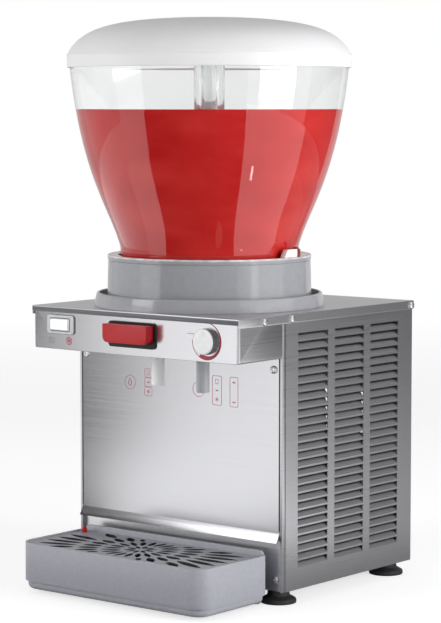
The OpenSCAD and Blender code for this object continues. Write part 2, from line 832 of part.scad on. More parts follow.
module impeller() {
    hub_r = impeller_pin_d / 2 + 4;
    color("white") translate([0, bowl_y, z_dome + 1]) difference() {
        union() {
            cylinder(r = impeller_r, h = 3);
            cylinder(r = hub_r, h = impeller_h - 1);
            intersection() {
                cylinder(r = impeller_r, h = impeller_h - 1);
                for (i = [0:impeller_blades - 1]) rotate(360 * i / impeller_blades)
                    translate([0, -hub_r + 1, 0]) cube([impeller_r, 2, impeller_h - 1]);
            }
        }
        translate([0, 0, -1]) cylinder(d = impeller_pin_d + 2 * run_gap, h = impeller_h + 2);
    }
}

// Cover over the impeller, with inlets at its foot and the boss that carries the riser
module pump_housing() {
    color("whitesmoke") translate([0, bowl_y, z_dome]) difference() {
        union() {
            cylinder(r = pump_in + pump_t, h = pump_h);
            cylinder(d = sleeve_d - 2 * riser_t - 2 * lift_gap, h = pump_h + sleeve_boss);
        }
        translate([0, 0, -1]) cylinder(r = pump_in, h = pump_h - pump_t + 1);
        cylinder(d = riser_d - 2 * riser_t, h = pump_h + sleeve_boss + 1);
        for (a = [0:60:120]) rotate(a) translate([0, 0, 3]) cube([4 * pump_in, 12, 8], center = true);
    }
}

module riser_tube() {
    color("azure", 0.4) translate([0, bowl_y, z_pump + sleeve_boss]) difference() {
        cylinder(d = riser_d, h = z_top + sleeve_top - z_pump - sleeve_boss - 3);
        translate([0, 0, -1]) cylinder(d = riser_d - 2 * riser_t, h = sleeve_top);
    }
}

module riser_sleeve() {
    color("azure", 0.4) translate([0, bowl_y, z_pump]) difference() {
        cylinder(d = sleeve_d, h = z_top + sleeve_top - z_pump);
        translate([0, 0, -1]) cylinder(d = sleeve_d - 2 * riser_t, h = sleeve_top);
    }
}

// Machine bay

module compressor_mounts() {
    color("black") translate([comp_x, bay_y, z_floor])
        for (a = [45:90:315]) rotate(a) translate([mount_r, 0, 0]) cylinder(d = mount_d, h = mount_h);
}

// Hermetic shell: two pressed cups on a foot plate, with a suction stub on top
module compressor() {
    plate_t = 3;
    plate_half = mount_r * 0.75 + mount_d / 2;
    color("dimgray") translate([comp_x, bay_y, z_floor + mount_h]) {
        box([-plate_half, -plate_half, 0], [plate_half, plate_half, plate_t]);
        rotate_extrude() polygon([[0, plate_t], [comp_r * 0.8, plate_t], [comp_r * 0.95, comp_h * 0.12],
            [comp_r, comp_h * 0.25], [comp_r, comp_h * 0.52], [comp_r + 2, comp_h * 0.52],
            [comp_r + 2, comp_h * 0.56], [comp_r, comp_h * 0.56], [comp_r, comp_h * 0.74],
            [comp_r * 0.9, comp_h * 0.88], [comp_r * 0.65, comp_h * 0.97], [comp_r * 0.3, comp_h],
            [0, comp_h]]);
        cylinder(d = tube_d + 4, h = comp_h + comp_stub);
    }
}

// Finned coil: sheet fins on rows of tubes between two end plates
module condenser() {
    rows = 6;
    fin_t = 0.8;
    end_t = 2;
    edge = 10;
    cond_y = bay_y - cond_w / 2;
    pitch = (cond_w - end_t - fin_t) / (cond_fins + 1);
    color("darkslategray") {
        for (y = [0, cond_w - end_t])
            box([cond_x, cond_y + y, z_floor], [cond_x + cond_t, cond_y + y + end_t, z_floor + cond_h]);
        for (i = [1:cond_fins]) box([cond_x + 1, cond_y + i * pitch, z_floor + 2],
            [cond_x + cond_t - 1, cond_y + i * pitch + fin_t, z_floor + cond_h - 2]);
        for (x = [0.27, 0.73], r = [0:rows - 1])
            bar_y(cond_x + x * cond_t, z_floor + edge + r * (cond_h - 2 * edge) / (rows - 1), tube_d,
                cond_y, cond_y + cond_w);
    }
}

module fan_shroud() {
    color("silver") difference() {
        box([cond_x - shroud_t, bay_y - cond_w / 2, z_floor], [cond_x, bay_y + cond_w / 2, z_floor + cond_h]);
        bar_x(bay_y, fan_z, fan_d + 8, cond_x - 2 * shroud_t, cond_x + 1);
    }
}

module fan_bracket() {
    half = fan_motor_d / 2 + 4;
    left = bay_y - half;
    right = bay_y + half;
    color("silver") {
        box([fan_motor_x - fan_bracket_t, left, z_floor], [fan_motor_x, right, fan_z + half]);
        box([fan_motor_x - fan_foot_l, left, z_floor], [fan_motor_x, right, z_floor + fan_bracket_t]);
    }
}

module fan_motor() {
    end = fan_motor_x + fan_motor_l;
    color("black") difference() {
        union() {
            bar_x(bay_y, fan_z, fan_motor_d, fan_motor_x, end - 6);
            bar_x(bay_y, fan_z, fan_motor_d * 0.5, fan_motor_x, end);
        }
        bar_x(bay_y, fan_z, knob_shaft_d + 2 * run_gap, end - fan_shaft_in, end + 1);
    }
}

// Axial fan whose stub shaft runs in the motor
module fan() {
    blade_w = 44;
    blade_t = 2;
    pitch = 32;
    color("gray") translate([fan_x, bay_y, fan_z]) {
        bar_x(0, 0, fan_hub_d, 0, fan_hub_l);
        bar_x(0, 0, knob_shaft_d, fan_motor_x + fan_motor_l - fan_shaft_in + 1 - fan_x, 1);
        intersection() {
            bar_x(0, 0, fan_d, 0, fan_hub_l);
            for (i = [0:fan_blades - 1]) rotate([360 * i / fan_blades, 0, 0])
                translate([fan_hub_l / 2, 0, fan_hub_d / 2 - 2]) rotate(90 - pitch)
                    translate([-blade_w / 2, -blade_t / 2, 0]) cube([blade_w, blade_t, fan_d / 2]);
        }
    }
}

// Copper line from the evaporator's coil down to the compressor
module suction_line() {
    top = [0, bowl_y + coil_r, coil_low];
    low = [comp_x, bay_y, z_floor + mount_h + comp_h + comp_stub + 2 * run_gap];
    color("peru") swept_tube(concat(
        curve(top + [tube_d, 0, 0], top + [30, 0, 0], top + [34, 0, -6], top + [34, 0, -46], 10),
        curve(top + [34, 0, -58], top + [34, 0, -92], low + [60, 0, 70], low + [22, 0, 56], 10),
        curve(low + [10, 0, 52], low + [2, 0, 48], low + [0, 0, 40], low, 8)), tube_d / 2, 8);
}

module filter_drier() {
    stub_r = 3;
    neck = 8;
    color("peru") translate([cond_x + cond_t / 2, bay_y - cond_w / 2 - drier_d / 2 - lift_gap, z_floor + 30])
        rotate_extrude() polygon([[0, 0], [stub_r, 0], [stub_r, neck], [drier_d / 2, 2 * neck],
            [drier_d / 2, drier_l - 2 * neck], [stub_r, drier_l - neck], [stub_r, drier_l], [0, drier_l]]);
}

module terminal_box() {
    size = [terminal_w, terminal_d, terminal_h];
    wall = [3, 3, 3];
    cable_d = 12;
    color("dimgray") translate([-half_w + 30, y_low + 12, z_floor]) difference() {
        cube(size);
        translate(wall) cube(size - 2 * wall);
        translate([size[0] / 2, size[1] + 1, size[2] / 2]) rotate([90, 0, 0])
            cylinder(d = cable_d, h = 2 * wall[1]);
    }
}

inlet_cut = [27, 20];
function inlet_at() = [20, z_pan + pan_edge + 24];

// Recessed mains inlet in the rear panel
module power_inlet() {
    flange = [40, 26];
    body_l = 24;
    color("black") difference() {
        union() {
            along_y(y_rear, y_rear + cover_out) translate(inlet_at()) square(flange, center = true);
            along_y(y_rear - sheet_t - body_l, y_rear) translate(inlet_at())
                square(inlet_cut - 2 * [screw_gap, screw_gap], center = true);
        }
        along_y(y_rear - sheet_t - body_l + 3, y_rear + cover_out + 1) translate(inlet_at())
            square(inlet_cut - [4, 4], center = true);
        for (s = [-1, 1]) translate([s * 16.5, 0, 0])
            bar_y(inlet_at()[0], inlet_at()[1], 3.4, y_rear - 1, y_rear + cover_out + 1);
    }
    color("lightgray") for (s = [-1, 0, 1]) translate([s * 7, 0, s == 0 ? 3 : -2])
        bar_y(inlet_at()[0], inlet_at()[1], 2.4, y_rear - sheet_t - body_l + 2, y_rear - 4);
}

// Console fittings

module thermostat() {
    half = 17;
    depth = 22;
    inner = y_console + sheet_t;
    color("dimgray") difference() {
        union() {
            box([knob_x - half, inner, z_knob - half], [knob_x + half, inner + depth, z_knob + half]);
            bar_y(knob_x, z_knob, bush_d, y_console - nut_t, inner + 1);
        }
        bar_y(knob_x, z_knob, knob_shaft_d + 2 * run_gap, y_console - nut_t - 1, inner + depth - 4);
    }
}

module thermostat_nut() {
    color("lightgray") difference() {
        translate([knob_x, y_console, z_knob]) rotate([90, 0, 0]) cylinder(d = nut_d, h = nut_t, $fn = 6);
        bar_y(knob_x, z_knob, bush_d + 2 * run_gap, y_console - nut_t - 1, y_console + 1);
    }
}

knob_back = y_console - knob_gap;
knob_face = knob_back - knob_t;

module thermostat_shaft() {
    color("lightgray") bar_y(knob_x, z_knob, knob_shaft_d, knob_face + 2, y_console + sheet_t + 14);
}

// Hollow knob with a pointer ridge, on a hub that fits the shaft
module thermostat_knob() {
    skin = 1.5;
    ridge_w = 2;
    ridge_h = 0.6;
    ridge_l = 5.8;
    ridge_edge = 2.2;
    color("whitesmoke") difference() {
        union() {
            difference() {
                translate([knob_x, knob_back, z_knob]) rotate([90, 0, 0]) rotate_extrude()
                    polygon([[0, 0], [knob_d / 2, 0], [knob_d / 2 - 0.5, knob_t - 1.2],
                        [knob_d / 2 - 1.7, knob_t], [0, knob_t]]);
                bar_y(knob_x, z_knob, knob_d - 4 * skin, knob_face + skin, knob_back + 1);
            }
            bar_y(knob_x, z_knob, knob_shaft_d + 5, knob_face + skin / 2, y_console - nut_t - knob_gap);
            box([knob_x - ridge_w / 2, knob_face - ridge_h, z_knob + knob_d / 2 - ridge_l - ridge_edge],
                [knob_x + ridge_w / 2, knob_face + skin / 2, z_knob + knob_d / 2 - ridge_edge]);
        }
        bar_y(knob_x, z_knob, knob_shaft_d + 2 * run_gap, knob_face + 2, knob_back + 1);
    }
}

// Size of the switch body behind its bezel
function switch_body(gap) = [switch_w - 5 + 2 * gap, switch_h - 4 + 2 * gap];

module switch_housing() {
    body_l = 24;
    bezel_out = 2.5;
    mouth = [rocker_w + 2 * rocker_gap, rocker_h + 2 * slide_gap];
    color("gainsboro") difference() {
        union() {
            along_y(y_console - bezel_out, y_console) translate([-switch_x, 0])
                round_box(switch_w / 2, z_switch - switch_h / 2, z_switch + switch_h / 2, 3);
            along_y(y_console - 1, y_console + body_l) translate([-switch_x, z_switch])
                square(switch_body(0), center = true);
        }
        along_y(y_console - bezel_out - 1, y_console + rocker_pivot + 8)
            translate([-switch_x, z_switch]) square(mouth, center = true);
        translate([-switch_x, y_console + rocker_pivot, z_switch])
            cylinder(d = rocker_pin_d + 2 * run_gap, h = rocker_h + 4.4, center = true);
    }
}

// Rocker with a shallow valley, on two short pins
module switch_rocker() {
    lead = rocker_pivot + rocker_lead;
    valley = 1.3;
    toe = 4;
    toe_in = 3;
    color("white") translate([-switch_x, y_console + rocker_pivot, z_switch]) {
        translate([0, 0, -rocker_h / 2]) linear_extrude(rocker_h)
            polygon([[-rocker_w / 2, -lead], [-rocker_w / 4, -lead + valley * 0.75], [0, -lead + valley],
                [rocker_w / 4, -lead + valley * 0.75], [rocker_w / 2, -lead], [rocker_w / 2 - 1, 0],
                [toe, toe_in], [-toe, toe_in], [-rocker_w / 2 + 1, 0]]);
        cylinder(d = rocker_pin_d, h = rocker_h + 4, center = true);
    }
}

// Opening for the handle, wider and higher than the handle by a margin
module bezel_hole(half, margin) {
    round_bottom(half, z_handle - handle_h / 2 - margin, z_handle + handle_h / 2 + margin, handle_r + margin);
}

// Black frame around the handle, with the sleeve that guides it
module handle_bezel() {
    color("black") difference() {
        union() {
            along_y(y_console - bezel_t, y_console)
                round_box(bezel_w / 2, z_handle - bezel_down, z_handle + bezel_up, 4);
            along_y(y_console - 1, y_console + bezel_sleeve)
                bezel_hole(handle_w / 2 + slide_gap + bezel_wall, slide_gap + bezel_wall);
        }
        along_y(y_console - bezel_t - 1, y_console + bezel_sleeve + 1)
            bezel_hole(handle_w / 2 + slide_gap, slide_gap);
    }
}

// Push handle with a blind bore for the plunger's rod
module push_handle() {
    color("crimson") difference() {
        along_y(y_console - handle_out, y_console + handle_in) bezel_hole(handle_w / 2, 0);
        bar_y(0, z_handle, rod_d + 2 * run_gap, y_console - 4, y_console + handle_in + 1);
    }
}

// Plunger: rod, piston and the waist that lets the drink past when the handle is pushed
module tap_plunger() {
    waist_d = plunger_d * 0.4;
    ring_at = [piston_front + 2.2, waist_front + waist_l + 2.2];
    color("whitesmoke") difference() {
        union() {
            bar_y(0, z_handle, rod_d, y_console - 4, piston_front + 1);
            bar_y(0, z_handle, plunger_d, piston_front, waist_front);
            bar_y(0, z_handle, waist_d, waist_front - 1, waist_front + waist_l + 1);
            bar_y(0, z_handle, plunger_d, waist_front + waist_l, piston_back);
        }
        for (y = ring_at) translate([0, y, z_handle]) rotate([90, 0, 0]) ring_groove();
    }
}

// Cut for a sealing ring in the plunger
module ring_groove() {
    rotate_extrude() translate([plunger_d / 2 - ring_wire + run_gap, -ring_wire / 2 - run_gap])
        square([ring_wire + 1, ring_wire + 2 * run_gap]);
}

module plunger_rings() {
    color("black") for (y = [piston_front + 2.2, waist_front + waist_l + 2.2])
        translate([0, y, z_handle]) rotate([90, 0, 0]) rotate_extrude()
            translate([plunger_d / 2 - ring_wire + 2 * run_gap, -ring_wire / 2])
                square([ring_wire - 2 * run_gap, ring_wire]);
}

// Return spring between the handle and the tap's boss
module tap_spring() {
    seat_gap = spring_wire / 2 + 0.1;
    coil = helix(spring_r, y_console + handle_in + seat_gap, tap_front - seat_gap, spring_turns,
        spring_ring_count, 0);
    color("lightgray") translate([0, 0, z_handle]) rotate([-90, 0, 0])
        swept_tube(coil, spring_wire / 2, spring_sides);
}

// Tap body: upright passage with a flange on the console's floor, crossed by the plunger's bore
module tap_body() {
    socket_low = nipple_low - lift_gap;
    vent_d = 3;
    color("white") difference() {
        union() {
            translate([0, outlet_y, z_shelf]) cylinder(d = tap_neck_d, h = tap_top - z_shelf);
            translate([0, outlet_y, z_shelf + tap_flange[2] / 2]) cube(tap_flange, center = true);
            bar_y(0, z_handle, tap_boss_d, tap_front, tap_back);
        }
        translate([0, outlet_y, z_shelf - 1]) {
            cylinder(d = passage_d, h = z_top - z_shelf);
            cylinder(d = spout_d + 2 * run_gap, h = spout_in + 1);
        }
        translate([0, outlet_y, socket_low]) cylinder(d = nipple_d + 2 * lift_gap, h = cab_h);
        translate([0, outlet_y, z_top - ring_wire / 2 - run_gap])
            cylinder(r = nipple_d / 2 + ring_wire + run_gap, h = ring_wire + 2 * run_gap);
        bar_y(0, z_handle, plunger_d + 2 * run_gap, tap_front - 1, tap_back - tap_wall);
        bar_y(0, z_handle, vent_d, tap_back - 2 * tap_wall, tap_back + 1);
    }
}

// Sealing ring in the tap's socket
module tap_ring() {
    color("black") translate([0, outlet_y, z_top]) rotate_extrude()
        translate([nipple_d / 2 + lift_gap / 2, -ring_wire / 2])
            square([ring_wire - lift_gap / 2, ring_wire]);
}

module spout() {
    color("white") translate([0, outlet_y, z_con - spout_drop]) difference() {
        cylinder(d = spout_d, h = spout_drop + sheet_t + spout_in);
        translate([0, 0, -1]) cylinder(d = passage_d, h = 2 * spout_drop);
    }
}

module drain_tube() {
    wall = 2;
    color("gray") translate([drain_x, drain_y, z_con - drain_drop]) difference() {
        cylinder(d = drain_d, h = z_top - z_con + drain_drop);
        translate([0, 0, -1]) cylinder(d = drain_d - 2 * wall, h = 2 * cab_h);
    }
}

// Bowl and lid

// Half outline of the bowl's side, shifted inwards by an inset
function bowl_side_points(inset, n) = curve([neck_r + neck_step - inset, z_side],
    [neck_r + low_pull[0] - inset, z_side + low_pull[1]],
    [bowl_r - high_pull[0] - inset, z_rim - high_pull[1]], [bowl_r - inset, z_rim], n);

module bowl() {
    side_steps = 18;
    corner = 4;
    lip_up = 10;
    z_floor_in = z_bowl + bowl_t;
    outer = bowl_side_points(0, side_steps);
    inner = bowl_side_points(bowl_t, side_steps);
    inner_back = [for (i = [side_steps:-1:0]) inner[i]];
    color("aliceblue", 0.35) difference() {
        union() {
            about_bowl() polygon(concat([[bowl_hole, z_bowl], [neck_r - corner, z_bowl],
                [neck_r, z_bowl + corner]], outer, inner_back, [[neck_r - bowl_t, z_floor_in + corner - 1],
                [neck_r - bowl_t - corner + 1, z_floor_in], [bowl_hole + bowl_t, z_floor_in],
                [bowl_hole + bowl_t, z_bowl + lip_up], [bowl_hole, z_bowl + lip_up]]));
            translate([0, outlet_y, nipple_low]) cylinder(d = nipple_d, h = z_bowl - nipple_low + 1);
        }
        translate([0, outlet_y, nipple_low - 1]) cylinder(d = nipple_bore, h = z_floor_in - nipple_low + 2);
    }
}

// Dome outline between the rim and the top, from the edge to the middle
function dome_points(r, z, rise, n) = curve([r, z], [r - rise * dome_pull[0], z + rise * dome_pull[1]],
    [r * dome_pull[2], z + rise], [0, z + rise], n);

module lid() {
    dome_steps = 14;
    edge = 0.8;
    ledge_t = 3;
    ledge_z = z_rim + lift_gap;
    ledge_r = bowl_r - bowl_t - ledge_t;
    outer = dome_points(lid_r, z_lid + lid_rim, lid_dome, dome_steps);
    inner = dome_points(lid_r - lid_t, z_lid + lid_rim, lid_dome - lid_t, dome_steps);
    inner_back = [for (i = [dome_steps:-1:0]) inner[i]];
    color("white") about_bowl() polygon(concat([[lid_r - edge, z_lid], [lid_r, z_lid + edge]], outer,
        inner_back, [[lid_r - lid_t, ledge_z + ledge_t], [ledge_r, ledge_z + ledge_t], [ledge_r, ledge_z],
        [lid_r - lid_t, ledge_z], [lid_r - lid_t, z_lid]]));
}

// Drip tray

// Plan of the tray, shrunk by an inset
module tray_plan(inset) {
    half = tray_w / 2 - inset;
    low = tray_front + inset;
    high = tray_back - inset;
    rf = tray_r - inset;
    rb = max(tray_rb - inset, 1);
    translate([-half, low + rf]) square([2 * half, high - rb - low - rf]);
    translate([-half + rf, low]) square([2 * (half - rf), 2 * rf]);
    translate([-half + rb, high - 2 * rb]) square([2 * (half - rb), 2 * rb]);
    for (s = [-1, 1]) {
        translate([s * (half - rf), low + rf]) circle(rf);
        translate([s * (half - rb), high - rb]) circle(rb);
    }
}

// Tray with a ledge for the grid and two channels underneath for the arms
module drip_tray() {
    channel = arm_w / 2 + arm_gap;
    rib = channel + tray_t;
    channel_top = arm_z + arm_t + lift_gap;
    z_wall = tray_low + tray_skirt;
    color("darkgray") difference() {
        union() {
            translate([0, 0, z_wall]) linear_extrude(tray_top - z_wall) tray_plan(0);
            translate([0, 0, tray_low]) linear_extrude(tray_skirt + 1) tray_plan(tray_tuck);
            along_y(tray_back - tray_t, tray_back)
                round_box(tray_w / 2 - tray_rb, z_wall, tray_top + tray_rise, tray_rise - 1);
        }
        translate([0, 0, z_grid - lift_gap]) linear_extrude(tray_top) tray_plan(tray_t);
        difference() {
            translate([0, 0, tray_low + tray_t]) linear_extrude(tray_top) tray_plan(tray_t + tray_ledge);
            for (s = [-1, 1]) translate([s * arm_x, 0, 0])
                box([-rib, arm_front - arm_gap - tray_t, 0], [rib, tray_back, channel_top + tray_t]);
        }
        for (s = [-1, 1]) translate([s * arm_x, 0, 0])
            box([-channel, arm_front - arm_gap, 0], [channel, tray_back + 1, channel_top]);
    }
}

// A pointed slot between two arcs, centred on the origin and lying along X
module petal(l, w) {
    r = (l * l / 4 + w * w / 4) / w;
    intersection() {
        translate([0, r - w / 2]) circle(r);
        translate([0, w / 2 - r]) circle(r);
    }
}

// Grid with rings of petal slots that spread out from the middle
module tray_grid() {
    edge = tray_t + grid_gap + 5;
    half = tray_w / 2 - edge;
    deep = (tray_back - tray_front) / 2 - edge;
    round = tray_r - edge;
    float_at = [float_x, float_y - grid_y];
    function inside(p) = norm([max(abs(p[0]) - half + round, 0), max(-p[1] - deep + round, 0)]) < round;
    function fits(p) = inside(p) && norm(p - float_at) > 12;
    // Length that a slot of a ring has in a direction before it meets the grid's edge
    function room(ring, a) = min(ring[1], deep / max(abs(sin(a)), 0.01) - ring[0],
        half / max(abs(cos(a)), 0.01) - ring[0]);
    color("gray") difference() {
        translate([0, 0, z_grid]) linear_extrude(grid_t) tray_plan(tray_t + grid_gap);
        translate([0, grid_y, z_grid - 1]) linear_extrude(grid_t + 2) {
            for (ring = slot_rings, i = [0:ring[3] - 1])
                let (a = 360 * i / ring[3], l = room(ring, a) - 0.5, end = (ring[0] + l) * [cos(a), sin(a)])
                if (l > 0.4 * ring[1] && fits(end))
                    rotate(a) translate([ring[0] + l / 2, 0]) petal(l, min(ring[2], l / 2));
            translate(float_at) circle(d = float_d + 1);
        }
    }
}

// Red float that shows when the tray is full
module tray_float() {
    base = tray_low + tray_t + lift_gap;
    high = z_grid + grid_t + float_show - base;
    cap = 2;
    color("red") translate([float_x, float_y, base]) rotate_extrude() polygon([[0, 0], [float_disc_d / 2, 0],
        [float_disc_d / 2, float_disc_h], [float_d / 2, float_disc_h + cap], [float_d / 2, high - cap],
        [float_d / 4, high], [0, high]]);
}

base_pan();
feet();
corner_posts();
left_side_panel();
right_side_panel();
front_panel();
lower_front();
rear_panel();
top_cover();
console();
cover_screws();
front_screws();
tray_arms();
bowl_seat();
locating_blocks();
block_pins();
bowl_seal();
evaporator();
evaporator_coil();
insulation();
motor_bracket();
mixer_motor();
drive_magnet();
impeller_pin();
impeller();
pump_housing();
riser_tube();
riser_sleeve();
compressor();
compressor_mounts();
condenser();
fan_shroud();
fan_bracket();
fan_motor();
fan();
suction_line();
filter_drier();
terminal_box();
power_inlet();
thermostat();
thermostat_nut();
thermostat_shaft();
thermostat_knob();
switch_housing();
switch_rocker();
handle_bezel();
push_handle();
tap_plunger();
plunger_rings();
tap_spring();
tap_body();
tap_ring();
spout();
drain_tube();
bowl();
lid();
drip_tray();
tray_grid();
tray_float();
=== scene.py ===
import math

import bmesh
import bpy
from mathutils import Matrix, Vector
from mathutils.geometry import interpolate_bezier


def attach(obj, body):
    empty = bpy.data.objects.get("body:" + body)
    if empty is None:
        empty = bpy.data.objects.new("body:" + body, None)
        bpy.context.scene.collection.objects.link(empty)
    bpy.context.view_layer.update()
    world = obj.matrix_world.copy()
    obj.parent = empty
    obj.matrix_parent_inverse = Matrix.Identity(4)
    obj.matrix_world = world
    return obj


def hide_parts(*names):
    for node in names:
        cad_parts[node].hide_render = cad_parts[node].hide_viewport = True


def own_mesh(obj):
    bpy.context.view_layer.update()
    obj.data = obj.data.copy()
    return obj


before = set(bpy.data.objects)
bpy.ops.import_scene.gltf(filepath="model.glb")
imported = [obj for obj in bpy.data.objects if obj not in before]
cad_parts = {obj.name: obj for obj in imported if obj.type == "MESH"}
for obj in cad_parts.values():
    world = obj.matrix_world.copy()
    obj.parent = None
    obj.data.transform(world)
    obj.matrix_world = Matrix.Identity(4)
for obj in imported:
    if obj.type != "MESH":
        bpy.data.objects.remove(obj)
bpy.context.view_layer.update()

scene = bpy.context.scene
scene.view_settings.view_transform = "Standard"

# Camera: a long lens at the photograph's viewing angle, to the right of the machine and a little above it.
# Its place is in metres in the part's own frame, and its sensor's long side is the image's height.
VIEW_TURN, VIEW_TILT, VIEW_DISTANCE = math.radians(39.07), math.radians(4.99), 2.65615
VIEW_AIM, VIEW_LENS = Vector((0.00985, 0.0004, 0.31555)), 133.53
view_back = Vector((math.sin(VIEW_TURN) * math.cos(VIEW_TILT),
                    -math.cos(VIEW_TURN) * math.cos(VIEW_TILT), math.sin(VIEW_TILT)))
camera = bpy.data.objects.new("camera", bpy.data.cameras.new("camera"))
scene.collection.objects.link(camera)
camera.data.lens = VIEW_LENS
camera.data.clip_end = 50
camera.location = VIEW_AIM + VIEW_DISTANCE * view_back
camera.rotation_euler = view_back.to_track_quat("Z", "Y").to_euler()
scene.camera = camera

# Studio: a white room with a soft key lamp at the right, a weaker one at the front left and one above. The room
# is white to the camera and in reflections, and weaker as plain light, so that colours render as they are written.
ROOM_LIGHT = 0.36
LAMPS = [  # turn and height in degrees, distance and size in metres, watts
    (97, 6, 2.0, 1.2, 42), (-31, 12, 2.4, 1.3, 32), (20, 84, 2.2, 1.4, 1.5)]
LAMP_AIM = Vector((0, 0, 0.3))
room = bpy.data.worlds.new("room")
room.use_nodes = True
scene.world = room
room_nodes, room_links = room.node_tree.nodes, room.node_tree.links
ray = room_nodes.new("ShaderNodeLightPath")
seen = room_nodes.new("ShaderNodeMath")
seen.operation = "MAXIMUM"
shown = room_nodes.new("ShaderNodeMath")
shown.operation = "MAXIMUM"
level = room_nodes.new("ShaderNodeMapRange")
level.inputs["To Min"].default_value = ROOM_LIGHT
room_links.new(ray.outputs["Is Camera Ray"], seen.inputs[0])
room_links.new(ray.outputs["Is Glossy Ray"], seen.inputs[1])
room_links.new(seen.outputs[0], shown.inputs[0])
room_links.new(ray.outputs["Is Transmission Ray"], shown.inputs[1])
room_links.new(shown.outputs[0], level.inputs["Value"])
room_links.new(level.outputs["Result"], room_nodes["Background"].inputs["Strength"])
room_nodes["Background"].inputs["Color"].default_value = (1, 1, 1, 1)


def around(turn, height, distance):
    """Point at a turn from the machine's front and a height in degrees, seen from the machine's middle."""
    turn, height = math.radians(turn), math.radians(height)
    return Vector((math.sin(turn) * math.cos(height), -math.cos(turn) * math.cos(height),
                   math.sin(height))) * distance + LAMP_AIM


for number, (turn, height, distance, size, watts) in enumerate(LAMPS):
    lamp = bpy.data.objects.new(f"lamp_{number}", bpy.data.lights.new(f"lamp_{number}", "AREA"))
    lamp.data.shape = "SQUARE"
    lamp.data.size = size
    lamp.data.energy = watts
    lamp.visible_glossy = False
    lamp.location = around(turn, height, distance)
    lamp.rotation_euler = (lamp.location - LAMP_AIM).to_track_quat("Z", "Y").to_euler()
    scene.collection.objects.link(lamp)

# Softboxes and dark flags: cards that stand round the machine and lie on the floor, and show only in its
# reflections. Bright boxes are at the front left and at the right, with a small window on the floor, and dimmer
# cards between and behind them. The last section names the pieces that don't mirror some of them.
CARD_ENDS = {  # reach and height in metres of a card's two edges
    "near floor": ((0.42, 0.002), (1.1, 0.002)), "far floor": ((1.1, 0.002), (1.9, 0.002)),
    "window": ((0.735, 0.004), (0.87, 0.004)), "low wall": ((1.9, 0.002), (1.9, 0.8)),
    "high wall": ((1.9, 0.8), (1.9, 2.2)), "ceiling": ((1.9, 2.2), (0.5, 2.2))}
CARDS = [  # where, from and to which turn in degrees, how bright, and which group of pieces doesn't mirror it
    ("near floor", -141, -62, 1.2, None), ("near floor", -62, -46, 1.2, "front"), ("near floor", -46, -18, 1.5, None),
    ("near floor", -18, 70, 0.7, "bowl"), ("near floor", 70, 131, 1.6, None), ("near floor", 131, 178, 0.5, None),
    ("window", 79.3, 81.4, 11, None),
    ("far floor", -141, -62, 1.25, None), ("far floor", -62, -42, 1.25, "front"), ("far floor", -42, -17, 1.4, None),
    ("far floor", -17, 70, 0.8, "bowl"), ("far floor", 70, 131, 1.6, None), ("far floor", 131, 178, 0.4, None),
    ("low wall", -95, -62, 0.8, None), ("low wall", -62, -42, 0.9, "front"), ("low wall", -42, -16, 1.4, None),
    ("low wall", -16, 70, 0.9, "bowl"), ("low wall", 70, 85, 0.7, None), ("low wall", 85, 94, 2.2, None),
    ("low wall", 94, 128, 0.9, None), ("low wall", 128, 178, 0.15, None), ("low wall", 178, 265, 0.65, None),
    ("high wall", -180, -44, 0.5, "front"), ("high wall", -44, -19, 3.4, None), ("high wall", -19, 70, 0.3, None),
    ("high wall", 70, 132, 1.2, None), ("high wall", 132, 178, 0.3, None), ("ceiling", -180, -42, 0.3, "front")]
unmirrored = {"front": [], "bowl": []}
for number, (where, first_turn, last_turn, glow, group) in enumerate(CARDS):
    bm = bmesh.new()
    out = Vector((math.sin(math.radians(first_turn)), -math.cos(math.radians(first_turn)), 0))
    ends = [bm.verts.new(out * reach + Vector((0, 0, rise))) for reach, rise in CARD_ENDS[where]]
    bm.edges.new(ends)
    bmesh.ops.spin(bm, geom=bm.verts[:] + bm.edges[:], cent=(0, 0, 0), axis=(0, 0, 1),
                   angle=math.radians(last_turn - first_turn), steps=12, use_merge=False)
    card_mesh = bpy.data.meshes.new(f"card_{number}")
    bm.to_mesh(card_mesh)
    bm.free()
    card = bpy.data.objects.new(f"card_{number}", card_mesh)
    scene.collection.objects.link(card)
    card_paint = bpy.data.materials.new(f"card {number}")
    card_paint.use_nodes = True
    card_nodes = card_paint.node_tree.nodes
    lit = card_nodes.new("ShaderNodeEmission")
    lit.inputs["Strength"].default_value = glow
    card_paint.node_tree.links.new(lit.outputs[0], card_nodes["Material Output"].inputs["Surface"])
    card_mesh.materials.append(card_paint)
    card.visible_camera = card.visible_diffuse = card.visible_shadow = card.visible_transmission = False
    if group:
        unmirrored[group].append(card)

# Floor: a pale matt disc that fades out at its edge, so that no line shows against the white room.
# It takes the machine's shadow, and is lifted to white only for the camera.
FLOOR_RADIUS, FLOOR_FADE, FLOOR_WHITE, FLOOR_LIFT = 3.4, 1.5, 0.5, 0.67
bm = bmesh.new()
bmesh.ops.create_circle(bm, cap_ends=True, segments=96, radius=FLOOR_RADIUS)
floor_mesh = bpy.data.meshes.new("floor")
bm.to_mesh(floor_mesh)
bm.free()
floor = bpy.data.objects.new("floor", floor_mesh)
scene.collection.objects.link(floor)
floor_paint = bpy.data.materials.new("floor")
floor_paint.use_nodes = True
floor_nodes, floor_links = floor_paint.node_tree.nodes, floor_paint.node_tree.links
floor_nodes.remove(floor_nodes["Principled BSDF"])
matt = floor_nodes.new("ShaderNodeBsdfDiffuse")
matt.inputs["Color"].default_value = (FLOOR_WHITE, FLOOR_WHITE, FLOOR_WHITE, 1)
floor_ray = floor_nodes.new("ShaderNodeLightPath")
lift = floor_nodes.new("ShaderNodeMath")
lift.operation = "MULTIPLY"
lift.inputs[1].default_value = FLOOR_LIFT
glow = floor_nodes.new("ShaderNodeEmission")
both = floor_nodes.new("ShaderNodeAddShader")
where = floor_nodes.new("ShaderNodeTexCoord")
far = floor_nodes.new("ShaderNodeVectorMath")
far.operation = "LENGTH"
fade = floor_nodes.new("ShaderNodeMapRange")
